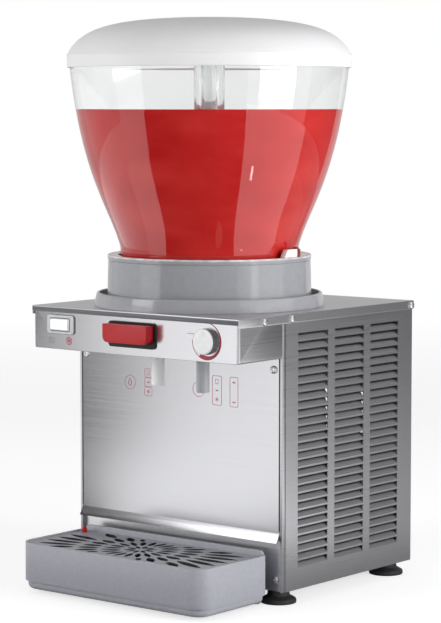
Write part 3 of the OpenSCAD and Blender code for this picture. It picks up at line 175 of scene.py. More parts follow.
fade.inputs["From Min"].default_value = FLOOR_FADE
fade.inputs["From Max"].default_value = FLOOR_RADIUS
clear = floor_nodes.new("ShaderNodeBsdfTransparent")
blend = floor_nodes.new("ShaderNodeMixShader")
floor_links.new(floor_ray.outputs["Is Camera Ray"], lift.inputs[0])
floor_links.new(lift.outputs[0], glow.inputs["Strength"])
floor_links.new(matt.outputs[0], both.inputs[0])
floor_links.new(glow.outputs[0], both.inputs[1])
floor_links.new(where.outputs["Object"], far.inputs[0])
floor_links.new(far.outputs["Value"], fade.inputs["Value"])
floor_links.new(fade.outputs["Result"], blend.inputs[0])
floor_links.new(both.outputs[0], blend.inputs[1])
floor_links.new(clear.outputs[0], blend.inputs[2])
floor_links.new(blend.outputs[0], floor_nodes["Material Output"].inputs["Surface"])
floor_mesh.materials.append(floor_paint)


# Cabinet sheets: folded stainless panels with a straight brushed grain that runs along the cabinet.
# The panels keep the solids' own shape, and the folded edges are eased as a press brake leaves them.
def finish(name, dark, light, rough, grain, bump=0.0, depth=0.0001, **sockets):
    """Surface finish whose colour and gloss vary with a grain, given in repeats per metre along X, Y and Z."""
    grain_low, grain_high = 0.3, 0.7
    paint = bpy.data.materials.new(name)
    paint.use_nodes = True
    nodes, links = paint.node_tree.nodes, paint.node_tree.links
    shader = nodes["Principled BSDF"]
    where = nodes.new("ShaderNodeTexCoord")
    place = nodes.new("ShaderNodeMapping")
    place.inputs["Scale"].default_value = grain
    noise = nodes.new("ShaderNodeTexNoise")
    noise.inputs["Scale"].default_value = 1
    noise.inputs["Detail"].default_value = 3
    colour = nodes.new("ShaderNodeValToRGB")
    for step, place_on_ramp, shade in zip(colour.color_ramp.elements, (grain_low, grain_high), (dark, light)):
        step.position, step.color = place_on_ramp, (*shade, 1)
    gloss = nodes.new("ShaderNodeMapRange")
    for socket, value in zip(("From Min", "From Max", "To Min", "To Max"), (grain_low, grain_high, *rough)):
        gloss.inputs[socket].default_value = value
    links.new(where.outputs["Object"], place.inputs["Vector"])
    links.new(place.outputs["Vector"], noise.inputs["Vector"])
    links.new(noise.outputs["Fac"], colour.inputs["Fac"])
    links.new(noise.outputs["Fac"], gloss.inputs["Value"])
    links.new(colour.outputs["Color"], shader.inputs["Base Color"])
    links.new(gloss.outputs["Result"], shader.inputs["Roughness"])
    if bump:
        relief = nodes.new("ShaderNodeBump")
        relief.inputs["Strength"].default_value = bump
        relief.inputs["Distance"].default_value = depth
        links.new(noise.outputs["Fac"], relief.inputs["Height"])
        links.new(relief.outputs["Normal"], shader.inputs["Normal"])
    for socket, value in sockets.items():
        shader.inputs[socket.replace("_", " ")].default_value = value
    return paint


def dress(paint, *names):
    """Gives CAD nodes their finish."""
    for name in names:
        for material_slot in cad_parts[name].material_slots:
            material_slot.material = paint


def shown_piece(bm, name, paint, body, nodes=(), sharp=32):
    """Makes a piece of a mesh drawn in millimetres, and lets it ride on a body in place of CAD nodes."""
    bmesh.ops.scale(bm, vec=(0.001, 0.001, 0.001), verts=bm.verts)
    mesh = bpy.data.meshes.new(name)
    bm.to_mesh(mesh)
    bm.free()
    mesh.materials.append(paint)
    mesh.shade_smooth()
    mesh.set_sharp_from_angle(angle=math.radians(sharp))
    piece = bpy.data.objects.new(name, mesh)
    scene.collection.objects.link(piece)
    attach(piece, body)
    if nodes:
        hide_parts(*nodes)
    return piece


def cad_shape(node):
    """A CAD node's shape in millimetres, with its flat faces whole."""
    bm = bmesh.new()
    bm.from_mesh(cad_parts[node].data)
    bmesh.ops.scale(bm, vec=(1000, 1000, 1000), verts=bm.verts)
    bmesh.ops.remove_doubles(bm, verts=bm.verts, dist=0.004)
    bmesh.ops.dissolve_limit(bm, angle_limit=math.radians(0.5), verts=bm.verts, edges=bm.edges)
    return bm


def rounded(bm, radius, segments=2, angle=35, pick=None, clamp=True):
    """Rounds the edges of a shape that are sharper than an angle, or those of them that are picked."""
    corners = [e for e in bm.edges if len(e.link_faces) == 2 and e.calc_face_angle() > math.radians(angle)
               and (pick is None or pick(e))]
    bmesh.ops.bevel(bm, geom=corners, offset=radius, offset_type="OFFSET", segments=segments, profile=0.5,
                    affect="EDGES", clamp_overlap=clamp, material=-1)
    return bm


def fold(edge):
    """Whether an edge is the outside of a fold, between two faces that are wider than a sheet is thick."""
    widest_sheet = 3
    return edge.is_convex and min(face.calc_area() for face in edge.link_faces) > widest_sheet * edge.calc_length()


# The sides, posts, rear and console ends take a darker copy of the same stainless than the front, console and top:
# painted shade.
side_steel = finish("brushed steel", (0.47, 0.47, 0.49), (0.53, 0.53, 0.55), (0.27, 0.35), (6, 6, 1400),
                    bump=0.05, Metallic=1.0)
top_steel = finish("brushed steel top", (0.54, 0.54, 0.56), (0.6, 0.6, 0.62), (0.27, 0.35), (6, 1400, 400),
                   bump=0.05, Metallic=1.0)
plain_steel = finish("mill steel", (0.44, 0.44, 0.45), (0.56, 0.56, 0.57), (0.32, 0.46), (60, 60, 60),
                     Metallic=1.0)
front_steel = finish("brushed steel front", (0.53, 0.53, 0.55), (0.57, 0.57, 0.59), (0.2, 0.25), (6, 6, 1400),
                     bump=0.02, Metallic=1.0)
console_steel = finish("brushed steel console", (0.58, 0.58, 0.6), (0.62, 0.62, 0.64), (0.2, 0.25), (6, 6, 1400),
                       bump=0.02, Metallic=1.0)
pale_steel = finish("pale steel", (0.66, 0.66, 0.68), (0.74, 0.74, 0.76), (0.3, 0.38), (6, 6, 900), Metallic=1.0)
SHEETS = [  # the piece, its solid, how far its folds are eased, and its finish
    ("cover_sheet", "top_cover", 1.2, top_steel), ("console_sheet", "console", 1.4, console_steel),
    ("front_sheet", "front_panel", 3, front_steel), ("post_strips", "corner_posts", 1, side_steel),
    ("lower_sheet", "lower_front", 1, pale_steel)]
FACES_SIDEWAYS = 0.7  # the share of a normal along X from which a face belongs to an end of the console
for name, node, radius, paint in SHEETS:
    shown_piece(rounded(cad_shape(node), radius, 4, 20, fold), name, paint, "cabinet", [node])
# The console's ends take the darker side steel, so the one sheet is darker on its ends: painted shade.
console_sheet = bpy.data.objects["console_sheet"].data
console_sheet.materials.append(side_steel)
for face in console_sheet.polygons:
    face.material_index = int(abs(face.normal.x) > FACES_SIDEWAYS)
dress(side_steel, "left_side_panel", "right_side_panel", "rear_panel")
dress(plain_steel, "base_pan", "tray_arms", "motor_bracket", "fan_shroud", "fan_bracket")


# Strips: a dark grey strip of painted shade along the cover's front flange, under the flange's bright folded edge,
# and black edgings that close the gaps between the front panel and the corner posts.
def slab(x, y, z, edge):
    """A block between two values on each axis, in millimetres, with its edges rounded."""
    bm = bmesh.new()
    bmesh.ops.create_cube(bm, size=1)
    low, high = Vector((x[0], y[0], z[0])), Vector((x[1], y[1], z[1]))
    bmesh.ops.scale(bm, vec=high - low, verts=bm.verts)
    bmesh.ops.translate(bm, vec=(low + high) / 2, verts=bm.verts)
    bmesh.ops.bevel(bm, geom=bm.edges[:], offset=edge, offset_type="OFFSET", segments=2, profile=0.5,
                    affect="EDGES", material=-1)
    return bm


def added(bm, other, move=(0, 0, 0), turn=None):
    """Adds another mesh to this one, turned about the origin and then moved."""
    if turn:
        bmesh.ops.rotate(other, cent=(0, 0, 0), matrix=turn, verts=other.verts)
    bmesh.ops.translate(other, vec=move, verts=other.verts)
    part = bpy.data.meshes.new("part")
    other.to_mesh(part)
    other.free()
    bm.from_mesh(part)
    bpy.data.meshes.remove(part)
    return bm


# The flange strip's dark grey is painted shade where the steel flange looks dark.
flange_shade_paint = finish("painted shade on flange", (0.07, 0.07, 0.085), (0.13, 0.13, 0.15), (0.3, 0.4), (5, 5, 900))
edging = finish("black edging", (0.02, 0.02, 0.022), (0.04, 0.04, 0.044), (0.45, 0.6), (250, 250, 250))
SHADE_STRIP_X, SHADE_STRIP_Y, SHADE_STRIP_Z, SHADE_STRIP_EDGE = (-150.8, 150.8), (-143.5, -142.6), (317.6, 322.7), 0.15
EDGING_X, EDGING_Y, EDGING_Z, EDGING_EDGE = ((145, 146.7), (-146.7, -145)), (-64.9, -62), (84, 285), 0.2
# The flange strip is painted shade: a dark sheet laid on the steel flange.
shown_piece(slab(SHADE_STRIP_X, SHADE_STRIP_Y, SHADE_STRIP_Z, SHADE_STRIP_EDGE), "cover_flange_shade", flange_shade_paint, "cabinet")
bm = bmesh.new()
for x in EDGING_X:
    added(bm, slab(x, EDGING_Y, EDGING_Z, EDGING_EDGE))
shown_piece(bm, "panel_edgings", edging, "cabinet")


# Feet: four moulded rubber feet, each a wide pad and a waisted stem on a threaded stud.
# The pads carry the machine on the counter.
def turned(profile, steps, middle=(0, 0)):
    """A closed outline of radius, height and corner radius, in millimetres, turned about an upright axis."""
    bm = bmesh.new()
    corners = [bm.verts.new((r, 0, z)) for r, z, _ in profile]
    for a, b in zip(corners, corners[1:] + corners[:1]):
        bm.edges.new((a, b))
    for corner, (_, _, fillet) in zip(corners, profile):
        if fillet:
            bmesh.ops.bevel(bm, geom=[corner], offset=fillet, offset_type="OFFSET", segments=5, profile=0.5,
                            affect="VERTICES", material=-1)
    bmesh.ops.spin(bm, geom=bm.verts[:] + bm.edges[:], cent=(0, 0, 0), axis=(0, 0, 1), angle=2 * math.pi,
                   steps=steps, use_merge=True)
    bmesh.ops.remove_doubles(bm, verts=bm.verts, dist=0.0005)
    bmesh.ops.dissolve_degenerate(bm, edges=bm.edges, dist=0.0001)
    bmesh.ops.recalc_face_normals(bm, faces=bm.faces)
    bmesh.ops.translate(bm, vec=(*middle, 0), verts=bm.verts)
    return bm


FOOT_X, FOOT_Y = 128, (-42.6, 165.4)
FOOT = [(0, 0, 0), (20, 0, 1), (20, 4.5, 1.2), (16, 6.8, 2), (12.6, 8.6, 1.5), (12, 16, 0.4), (4, 16, 0),
        (4, 25.2, 0.6), (0, 25.2, 0)]
rubber = finish("black rubber", (0.012, 0.012, 0.013), (0.028, 0.028, 0.03), (0.42, 0.62), (220, 220, 220), bump=0.1)
bm = bmesh.new()
for x in (-FOOT_X, FOOT_X):
    for y in FOOT_Y:
        added(bm, turned(FOOT, 48, (x, y)))
shown_piece(bm, "rubber_feet", rubber, "cabinet", ["feet"])
dress(rubber, "compressor_mounts", "plunger_rings", "tap_ring", "bowl_seal")


# Screws: bright pan-head screws with a cross recess, three along each side of the top cover,
# two at the top of the front panel and two in the plate under it.
HEAD_HEIGHT, RECESS_REACH, RECESS_DEPTH = 2.6, 2.1, 1.3
HEAD_RINGS = [(3.3, -0.35), (4.3, -0.85), (4.5, -0.6), (4.5, -0.8)]  # radius, and how far a ring drops


def pan_head():
    """A screw's head with its seat on the plane z = 0, in millimetres."""
    bm = bmesh.new()
    bmesh.ops.create_grid(bm, x_segments=3, y_segments=3, size=RECESS_REACH)
    bmesh.ops.translate(bm, vec=(0, 0, HEAD_HEIGHT), verts=bm.verts)
    cross = [f for f in bm.faces if min(abs(f.calc_center_median().x), abs(f.calc_center_median().y)) < 0.1]
    rim = [e for e in bm.edges if e.is_boundary]
    sunk = bmesh.ops.extrude_face_region(bm, geom=cross)["geom"]
    bmesh.ops.delete(bm, geom=cross, context="FACES_ONLY")
    bmesh.ops.translate(bm, vec=(0, 0, -RECESS_DEPTH), verts=[v for v in sunk if isinstance(v, bmesh.types.BMVert)])
    for radius, drop in HEAD_RINGS:
        rim = [e for e in bmesh.ops.extrude_edge_only(bm, edges=rim)["geom"] if isinstance(e, bmesh.types.BMEdge)]
        for vert in {v for e in rim for v in e.verts}:
            vert.co.xy = vert.co.xy.normalized() * radius
            vert.co.z += drop
    bmesh.ops.contextual_create(bm, geom=rim)
    bmesh.ops.recalc_face_normals(bm, faces=bm.faces)
    return bm


screw_steel = finish("bright screws", (0.62, 0.62, 0.62), (0.76, 0.76, 0.76), (0.18, 0.3), (500, 500, 500),
                     Metallic=1.0)
COVER_SCREW_X, COVER_SCREW_Y, COVER_SCREW_Z = 151.5, (-98.6, -49.6, 180.4), 318.4
bm = bmesh.new()
for side in (-1, 1):
    for y in COVER_SCREW_Y:
        added(bm, pan_head(), (side * COVER_SCREW_X, y, COVER_SCREW_Z), Matrix.Rotation(side * math.pi / 2, 3, "Y"))
shown_piece(bm, "cover_screw_heads", screw_steel, "cabinet", ["cover_screws"])
FRONT_SCREWS = [(138, -64.6, 263), (138, -59.8, 29)]  # each at the right and at the left
bm = bmesh.new()
for x, y, z in FRONT_SCREWS:
    for side in (-1, 1):
        added(bm, pan_head(), (side * x, y, z), Matrix.Rotation(math.pi / 2, 3, "X"))
shown_piece(bm, "front_screw_heads", screw_steel, "cabinet", ["front_screws"])

# Seat: a grey moulded collar on the cover that carries the bowl, with a drip gutter round its foot
# and a bright bead along its upper edge.
BOWL_Y = -7.6
SEAT = [(132.6, 324, 0.6), (129.2, 339, 1.6), (126.2, 339, 0.8), (126.2, 329, 2), (118.5, 329, 3), (117, 339, 4),
        (116, 375.6, 0), (115.4, 376.2, 0), (115.4, 377, 0), (116.6, 377, 0.3), (116.6, 382, 2), (104.5, 382, 1.2),
        (104.5, 344, 3), (65, 344, 0.5), (65, 340, 0.5), (108, 340, 0), (108, 324, 0)]
grey_plastic = finish("grey moulded plastic", (0.3, 0.305, 0.325), (0.32, 0.325, 0.345), (0.09, 0.12), (160, 160, 160),
                      bump=0.01, IOR=1.64)
shown_piece(turned(SEAT, 128, (0, BOWL_Y)), "seat_collar", grey_plastic, "cabinet", ["bowl_seat"])
BEAD = [(113, 380, 0), (116.75, 380, 0.3), (116.75, 382.15, 1), (113, 382.15, 0.3)]
bead_white = finish("pale bead", (0.42, 0.37, 0.37), (0.78, 0.74, 0.74), (0.1, 0.25), (90, 90, 260), bump=0.35,
                    depth=0.0006)
shown_piece(turned(BEAD, 128, (0, BOWL_Y)), "collar_bead", bead_white, "cabinet")

# Locating blocks: two small white blocks on the collar's rim that centre the bowl, each with a brown rear end
# and held by a brown pin. Their front ends slope down to the rim.
BLOCK_ANGLE, BLOCK_RADIUS, BLOCK_FOOT, BLOCK_WIDTH, PIN_Y = 4.6, 110.25, 382, 7, 12
BLOCK_WHITE = [(-16, 0), (9.5, 0), (9.5, 9), (-10, 9)]
BLOCK_BROWN = [(9.3, 0), (16, 0), (16, 9), (9.3, 9)]
PIN = [(0, 375, 0), (1.5, 375, 0), (1.5, 391, 0), (3, 391, 0.4), (3, 393, 0.8), (0, 393, 0)]
white_plastic = finish("white moulded plastic", (0.8, 0.8, 0.8), (0.86, 0.86, 0.86), (0.16, 0.22), (90, 90, 90),
                       bump=0.02)
brown_plastic = finish("brown pins", (0.2, 0.03, 0.025), (0.26, 0.045, 0.035), (0.3, 0.4), (300, 300, 300))


def block_end(outline):
    """A part of a locating block with its outline of y and z, in millimetres."""
    bm = bmesh.new()
    face = bm.faces.new([bm.verts.new((-BLOCK_WIDTH / 2, y, z)) for y, z in outline])
    solid = bmesh.ops.extrude_face_region(bm, geom=[face])["geom"]
    bmesh.ops.translate(bm, vec=(BLOCK_WIDTH, 0, 0), verts=[v for v in solid if isinstance(v, bmesh.types.BMVert)])
    bmesh.ops.recalc_face_normals(bm, faces=bm.faces)
    return rounded(bm, 0.8, 3)


blocks, pins = bmesh.new(), bmesh.new()
for side in (-1, 1):
    spin = Matrix.Rotation(math.radians(side * BLOCK_ANGLE), 3, "Z")
    for whole, part, y, z in ((blocks, block_end(BLOCK_WHITE), 0, BLOCK_FOOT), (pins, turned(PIN, 32), PIN_Y, 0),
                              (pins, block_end(BLOCK_BROWN), 0, BLOCK_FOOT)):
        bmesh.ops.translate(part, vec=(side * BLOCK_RADIUS, y, z), verts=part.verts)
        added(whole, part, (0, BOWL_Y, 0), spin)
shown_piece(blocks, "rim_blocks", white_plastic, "cabinet", ["locating_blocks"])
shown_piece(pins, "rim_pins", brown_plastic, "cabinet", ["block_pins"])

# Cooler: the stainless drum that stands up into the bowl, with the white pump cover on it
# and two clear tubes, one in the other, up the middle of the bowl.
RISERS = [  # the piece, its solid, its outer radius, and its lower and upper end in millimetres
    ("riser_inner", "riser_tube", 9.5, 443, 613), ("riser_outer", "riser_sleeve", 17.5, 439, 616)]
RISER_WALL = 2
drum_steel = finish("drum steel", (0.5, 0.5, 0.5), (0.6, 0.6, 0.6), (0.2, 0.3), (40, 40, 200), bump=0.05, Metallic=1.0)
dress(drum_steel, "evaporator")
dress(white_plastic, "impeller", "pump_housing", "tap_plunger", "tap_body")
tube_plastic = finish("clear tube", (0.93, 0.94, 0.94), (0.97, 0.98, 0.98), (0.04, 0.08), (60, 60, 60),
                      Transmission_Weight=0.94, IOR=1.3)
for name, node, radius, low, high in RISERS:
    bore = radius - RISER_WALL
    wall = [(bore, low, 0.3), (radius, low, 0.3), (radius, high, 0.6), (bore, high, 0.6)]
    riser = shown_piece(turned(wall, 64, (0, BOWL_Y)), name, tube_plastic, "cabinet", [node])
    riser.visible_shadow = False

# Bowl: one clear moulding with a flared side, a straight neck that sits in the collar, and a hole in its
# floor that fits over the drum. The outlet nipple hangs from the floor at the front.
RIM_Z, RIM_ROUND, BOWL_WALL, OUTLET_Y = 600, 1.2, 3, -98.6
BOWL_PULLS = [(102.4, 392), (114.8, 436), (146.5, 471), (159.4, RIM_Z)]
NECK_OUT = [(66, 348, 0.5), (102, 348, 4), (102, 390, 0)]
NECK_IN = [(99, 390, 0), (99, 351, 3), (69, 351, 2), (69, 358, 0.8), (66, 358, 0.8)]
OUTLET = [(5.5, 316.5, 0.5), (7.5, 316.5, 0.8), (7.5, 348, 0), (5.5, 348, 0)]
SIDE_POINTS = 40


def flare(inset):
    """Points of radius and height up the bowl's side, moved inwards by an inset."""
    pulls = [Vector((r - inset, z)) for r, z in BOWL_PULLS]
    return [(p.x, p.y, 0) for p in interpolate_bezier(*pulls, SIDE_POINTS)]


outer, inner = flare(0), flare(BOWL_WALL)
outer[-1], inner[-1] = (*outer[-1][:2], RIM_ROUND), (*inner[-1][:2], RIM_ROUND)
bowl = turned([*NECK_OUT, *outer, *inner[::-1], *NECK_IN], 144, (0, BOWL_Y))
added(bowl, turned(OUTLET, 48, (0, OUTLET_Y)))
clear_plastic = finish("clear bowl", (0.955, 0.965, 0.965), (0.975, 0.985, 0.985), (0.02, 0.035), (25, 25, 25),
                       Transmission_Weight=1.0, IOR=1.58)
bowl_shell = shown_piece(bowl, "bowl_shell", clear_plastic, "bowl", ["bowl"])
bowl_shell.visible_shadow = bowl_shell.visible_diffuse = False

# Drink: the red fill that stands round the drum, the pump and the riser, and lifts with the bowl.
# It reaches a little way into the bowl's clear wall, so that no gap shows.
FILL_Z, FILL_REACH, FILL_EDGE, FILL_FLARE = 547, 2, 4, 1.5
DRINK_FOOT = [(60.6, 366, 0), (70, 362, 1), (70, 351.2, 0.5), (99.2, 351.2, 3), (101, 390, 0)]
DRINK_HOLE = [(17.9, FILL_Z, 0), (17.9, 439.4, 0), (33.9, 439.4, 0), (33.9, 420.4, 0), (60.6, 420.4, 0)]
side = [(r + FILL_REACH, z, 0) for r, z, _ in inner if z < FILL_Z - FILL_EDGE]
top_r = side[-1][0] + FILL_FLARE
drink_red = finish("red drink", (0.44, 0.014, 0.014), (0.55, 0.032, 0.028), (0.25, 0.35), (12, 12, 30),
                   Specular_IOR_Level=0.0)
drink = turned([*DRINK_FOOT, *side, (top_r, FILL_Z, 0), *DRINK_HOLE], 144, (0, BOWL_Y))
shown_piece(drink, "drink_fill", drink_red, "bowl")

# Lid: a white domed cover with a straight rim that drops over the bowl's edge.
# An inner ledge rests on the bowl's rim.
LID_Z, LID_RIM, LID_DOME, LID_WALL, LID_R = 594, 608, 650.8, 2.4, 162.4
LID_EDGE = [(161.7, LID_Z, 1), (161.8, LID_RIM - 1.2, 0.3)]
LID_LEDGE = [(160, 603.3, 0), (153.4, 603.3, 0.4), (153.4, 600.3, 0.4), (160, 600.3, 0), (160, LID_Z, 0.5)]
SHOULDER_IN, SHOULDER_UP, CROWN_OUT = 0.35, 0.667, 0.738  # shares of the dome's rise, twice, and of its radius
DOME_POINTS = 48


def dome(radius, top):
    """Points of radius and height from the lid's rim to its middle."""
    rise = top - LID_RIM
    pulls = [(radius, LID_RIM), (radius - SHOULDER_IN * rise, LID_RIM + SHOULDER_UP * rise), (radius * CROWN_OUT, top),
             (0, top)]
    return [(p.x, p.y, 0) for p in interpolate_bezier(*[Vector(q) for q in pulls], DOME_POINTS)]


lid_inside = dome(LID_R - LID_WALL, LID_DOME - LID_WALL)[::-1]
lid = turned([*LID_EDGE, *dome(LID_R, LID_DOME), *lid_inside, *LID_LEDGE], 144, (0, BOWL_Y))
lid_white = finish("satin white lid", (0.8, 0.8, 0.81), (0.82, 0.82, 0.83), (0.38, 0.42), (30, 30, 30),
                   Specular_IOR_Level=0.3)
shown_piece(lid, "lid_dome", lid_white, "lid", ["lid"], sharp=40)

# Switch: a glossy grey bezel in the console with a dark inner frame and a lit white rocker.
# The rocker tilts about two short pins.
CONSOLE_Y, SWITCH_X, SWITCH_Z, INK = -141.6, -107, 304, 0.1
KEY_LINE, FRAME_LINE = (29.4, 14.6, 1.5), (40.8, 21.8, 3.4)  # width, height and corner radius
KEY_LINE_OUT = 2.6  # how far the line round the rocker stands before the console, on the bezel


def drawn(bm, points, width, face, close=False):
    """Adds a flat line of a width through points of x and z, on a face that looks to the front."""
    path = [Vector((x, face, z)) for x, z in points]
    sides = []
    for number, point in enumerate(path):
        before = path[number - 1] if close or number else point
        after = path[(number + 1) % len(path)] if close or number + 1 < len(path) else point
        along = ((point - before).normalized() + (after - point).normalized()).normalized()
        across = Vector((-along.z, 0, along.x)) * width / 2
        sides.append((bm.verts.new(point + across), bm.verts.new(point - across)))
    for (a, b), (c, d) in zip(sides, sides[1:] + sides[:1] if close else sides[1:]):
        bm.faces.new((a, b, d, c))


def arc(x, z, radius, first, last, steps):
    """Points of x and z on a circle, between two angles in degrees."""
    turns = [math.radians(first + (last - first) * step / steps) for step in range(steps + 1)]
    return [(x + radius * math.cos(turn), z + radius * math.sin(turn)) for turn in turns]


def box_line(x, z, width, height, corner):
    """Points of x and z round a rectangle with rounded corners, from its middle and its sizes."""
    wide, high = width / 2 - corner, height / 2 - corner
    return [point for side, up, first in ((1, 1, 0), (-1, 1, 90), (-1, -1, 180), (1, -1, 270))
            for point in arc(x + side * wide, z + up * high, corner, first, first + 90, 3)]


switch_plastic = finish("switch frame", (0.55, 0.56, 0.57), (0.62, 0.63, 0.64), (0.15, 0.2), (200, 200, 200))
frame_grey = finish("switch inner frame", (0.07, 0.075, 0.08), (0.1, 0.105, 0.11), (0.3, 0.4), (200, 200, 200))
rocker_plastic = finish("rocker", (0.78, 0.8, 0.8), (0.86, 0.88, 0.88), (0.12, 0.2), (200, 200, 200),
                        Emission_Color=(1, 1, 1, 1), Emission_Strength=0.3)
shown_piece(rounded(cad_shape("switch_housing"), 0.5), "switch_frame", switch_plastic, "cabinet",
            ["switch_housing"])
bm = bmesh.new()
drawn(bm, box_line(SWITCH_X, SWITCH_Z, *KEY_LINE), 1.1, CONSOLE_Y - KEY_LINE_OUT, close=True)
drawn(bm, box_line(SWITCH_X, SWITCH_Z, *FRAME_LINE), 0.6, CONSOLE_Y - INK, close=True)
shown_piece(bm, "switch_lines", frame_grey, "cabinet")
shown_piece(rounded(cad_shape("switch_rocker"), 0.6), "switch_key", rocker_plastic, "rocker",
            ["switch_rocker"])

# Push handle: a moulded red bar in a black frame that is clipped into the console.
# Pushing the bar in moves the plunger and opens the tap.
red_plastic = finish("red plastic", (0.42, 0.005, 0.009), (0.47, 0.007, 0.012), (0.28, 0.34), (150, 150, 150),
                     bump=0.02, Specular_IOR_Level=0.3)
black_plastic = finish("black plastic", (0.008, 0.008, 0.009), (0.014, 0.014, 0.015), (0.35, 0.5), (300, 300, 300),
                       bump=0.05, Specular_IOR_Level=0.25)
shown_piece(rounded(cad_shape("push_handle"), 1.2, 3), "push_bar", red_plastic, "handle",
            ["push_handle"])
dress(black_plastic, "handle_bezel", "power_inlet", "terminal_box", "thermostat", "fan", "fan_motor")

# Thermostat: a pale knob with a pointer ridge, on a shaft through the console, and a dark ring round its side as
# painted shade.
# Round it a red scale is printed on the console, thin at the top and widest below.
KNOB_X, KNOB_Z = 106, 298
KNOB_SIDE = [(14.2, 1, 0), (14.62, 1, 0.1), (14.15, 6.5, 0.1), (13.8, 6.5, 0)]
SCALE_R, SCALE_THIN, SCALE_SWELL, SWELL_CURVE = 20.4, 0.7, 4.8, 1.3
SCALE_FIRST, SCALE_WIDEST, SCALE_LAST, SCALE_STEP = 6, 210, 273, 3  # turns from the top, in degrees
knob_plastic = finish("knob plastic", (0.86, 0.87, 0.87), (0.91, 0.92, 0.92), (0.2, 0.28), (200, 200, 200))
# The knob's dark side is painted shade, not a colour that the knob has.
painted_knob_shade = finish("knob painted shade", (0.1, 0.1, 0.11), (0.15, 0.15, 0.165), (0.2, 0.3), (200, 200, 200))
scale_red = finish("printed red", (0.3, 0.006, 0.02), (0.36, 0.01, 0.03), (0.4, 0.5), (200, 200, 200))
shown_piece(rounded(cad_shape("thermostat_knob"), 0.4), "knob_cap", knob_plastic, "knob",
            ["thermostat_knob"])
# The dark ring round the knob's side is painted shade.
side_ring = bmesh.new()
added(side_ring, turned(KNOB_SIDE, 64), (KNOB_X, CONSOLE_Y, KNOB_Z), Matrix.Rotation(math.pi / 2, 3, "X"))
shown_piece(side_ring, "knob_shade_ring", painted_knob_shade, "knob")
bm = bmesh.new()
sides = []
for turn in range(SCALE_FIRST, SCALE_LAST + 1, SCALE_STEP):
    share = (turn - SCALE_FIRST) / (SCALE_WIDEST - SCALE_FIRST)
    wide = SCALE_THIN + SCALE_SWELL * share ** SWELL_CURVE if turn <= SCALE_WIDEST else SCALE_THIN
    sides.append([bm.verts.new((KNOB_X + r * math.sin(math.radians(turn)), CONSOLE_Y - INK,
                                KNOB_Z + r * math.cos(math.radians(turn)))) for r in (SCALE_R, SCALE_R - wide)])
for (a, b), (c, d) in zip(sides, sides[1:]):
    bm.faces.new((a, b, d, c))
shown_piece(bm, "knob_scale", scale_red, "cabinet")
dress(screw_steel, "impeller_pin", "thermostat_nut", "thermostat_shaft")

# Return spring: a coil of steel wire between the push bar and the tap, which the bar squeezes when it is pushed in.
# Here it is one fixed coil on the cabinet, with its own copy of the mesh.
return_spring = shown_piece(cad_shape("tap_spring"), "return_spring", screw_steel, "cabinet",
                            ["tap_spring"])
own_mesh(return_spring)

# Prints: thin red pictures on the front panel and the console, and grey ones on the console. They are drops, cups,
# bars and snowflakes in plain outlines, screen-printed on the steel.
PANEL_Y = -64.6
RINGS = [(-71.5, 233.9, 8), (31, 233.5, 8.5)]  # x, z and radius of the rings with a drop
BOXES = [  # x, z, width, height and corner radius of the frames, and how thick their lines are
    (-43.8, 246.4, 11.2, 10, 2.4, 0.45), (-43.8, 235.7, 11.2, 10, 2.4, 0.45), (-43.8, 225, 11.2, 10, 2.4, 0.45),
    (57.5, 234, 13.2, 32.8, 1.5, 0.55), (81.9, 233.9, 11.4, 33.2, 1.5, 0.55)]
COLUMNS = [(-43.8, 246.4, 10.7), (57.5, 243.9, 10)]  # x, the cup's z, and the step down to the bars and the flake
CUP = [(-2.2, 2.4), (-1.5, -2.4), (1.5, -2.4), (2.2, 2.4)]
DROP = [(0, 4.6), (2, 0.8), (2.5, -1.2), (1.6, -3), (0, -3.6), (-1.6, -3), (-2.5, -1.2), (-2, 0.8)]
COLUMN_BARS, SIDE_BARS = ((-1.7, 0.5), 1.4, 1.6), ((-1.9, 0.5), 1.5, 1.8)  # where two bars start, length, thickness
SIDE_X, SIDE_Z = 81.9, (244.6, 222.4)
FLAKE_X, FLAKE_Z, TWIG_FROM, TWIG = -95.5, 286, 3.2, 2.2
PLATE, PLATE_X, PLATE_Z = (8, 5.6, 1), -122, 285.4
ZIGZAG = [(-124, 284), (-122.7, 286.6), (-121.3, 284), (-120, 286.6)]
DASH_X, DASH_Z, DASH = (79.5, 83, 86), 305.4, 1.8


def flake(bm, x, z, reach, width, face):
    """Adds a snowflake of three crossing lines."""
    for turn in (30, 90, 150):
        drawn(bm, [arc(x, z, reach, turn, turn, 1)[0], arc(x, z, reach, turn + 180, turn + 180, 1)[0]], width, face)


def bars(bm, x, z, starts, length, width, face):
    """Adds short thick lines side by side."""
    for start in starts:
        drawn(bm, [(x + start, z), (x + start + length, z)], width, face)


red_print = finish("red print", (0.46, 0.02, 0.05), (0.54, 0.04, 0.07), (0.4, 0.5), (200, 200, 200))
grey_print = finish("grey print", (0.24, 0.15, 0.16), (0.3, 0.2, 0.21), (0.4, 0.5), (200, 200, 200))
bm, face = bmesh.new(), PANEL_Y - INK
for x, z, radius in RINGS:
    drawn(bm, arc(x, z, radius, 0, 348, 29), 0.5, face, close=True)
    drawn(bm, [(x + a, z + b) for a, b in DROP], 0.8, face, close=True)
for x, z, wide, high, corner, thick in BOXES:
    drawn(bm, box_line(x, z, wide, high, corner), thick, face, close=True)
for x, high, step in COLUMNS:
    drawn(bm, [(x + a, high + b) for a, b in CUP], 0.6, face, close=True)
    bars(bm, x, high - step, *COLUMN_BARS, face)
    flake(bm, x, high - 2 * step, 2.8, 0.5, face)
for z in SIDE_Z:
    bars(bm, SIDE_X, z, *SIDE_BARS, face)
face = CONSOLE_Y - INK
flake(bm, FLAKE_X, FLAKE_Z, 4.8, 0.9, face)
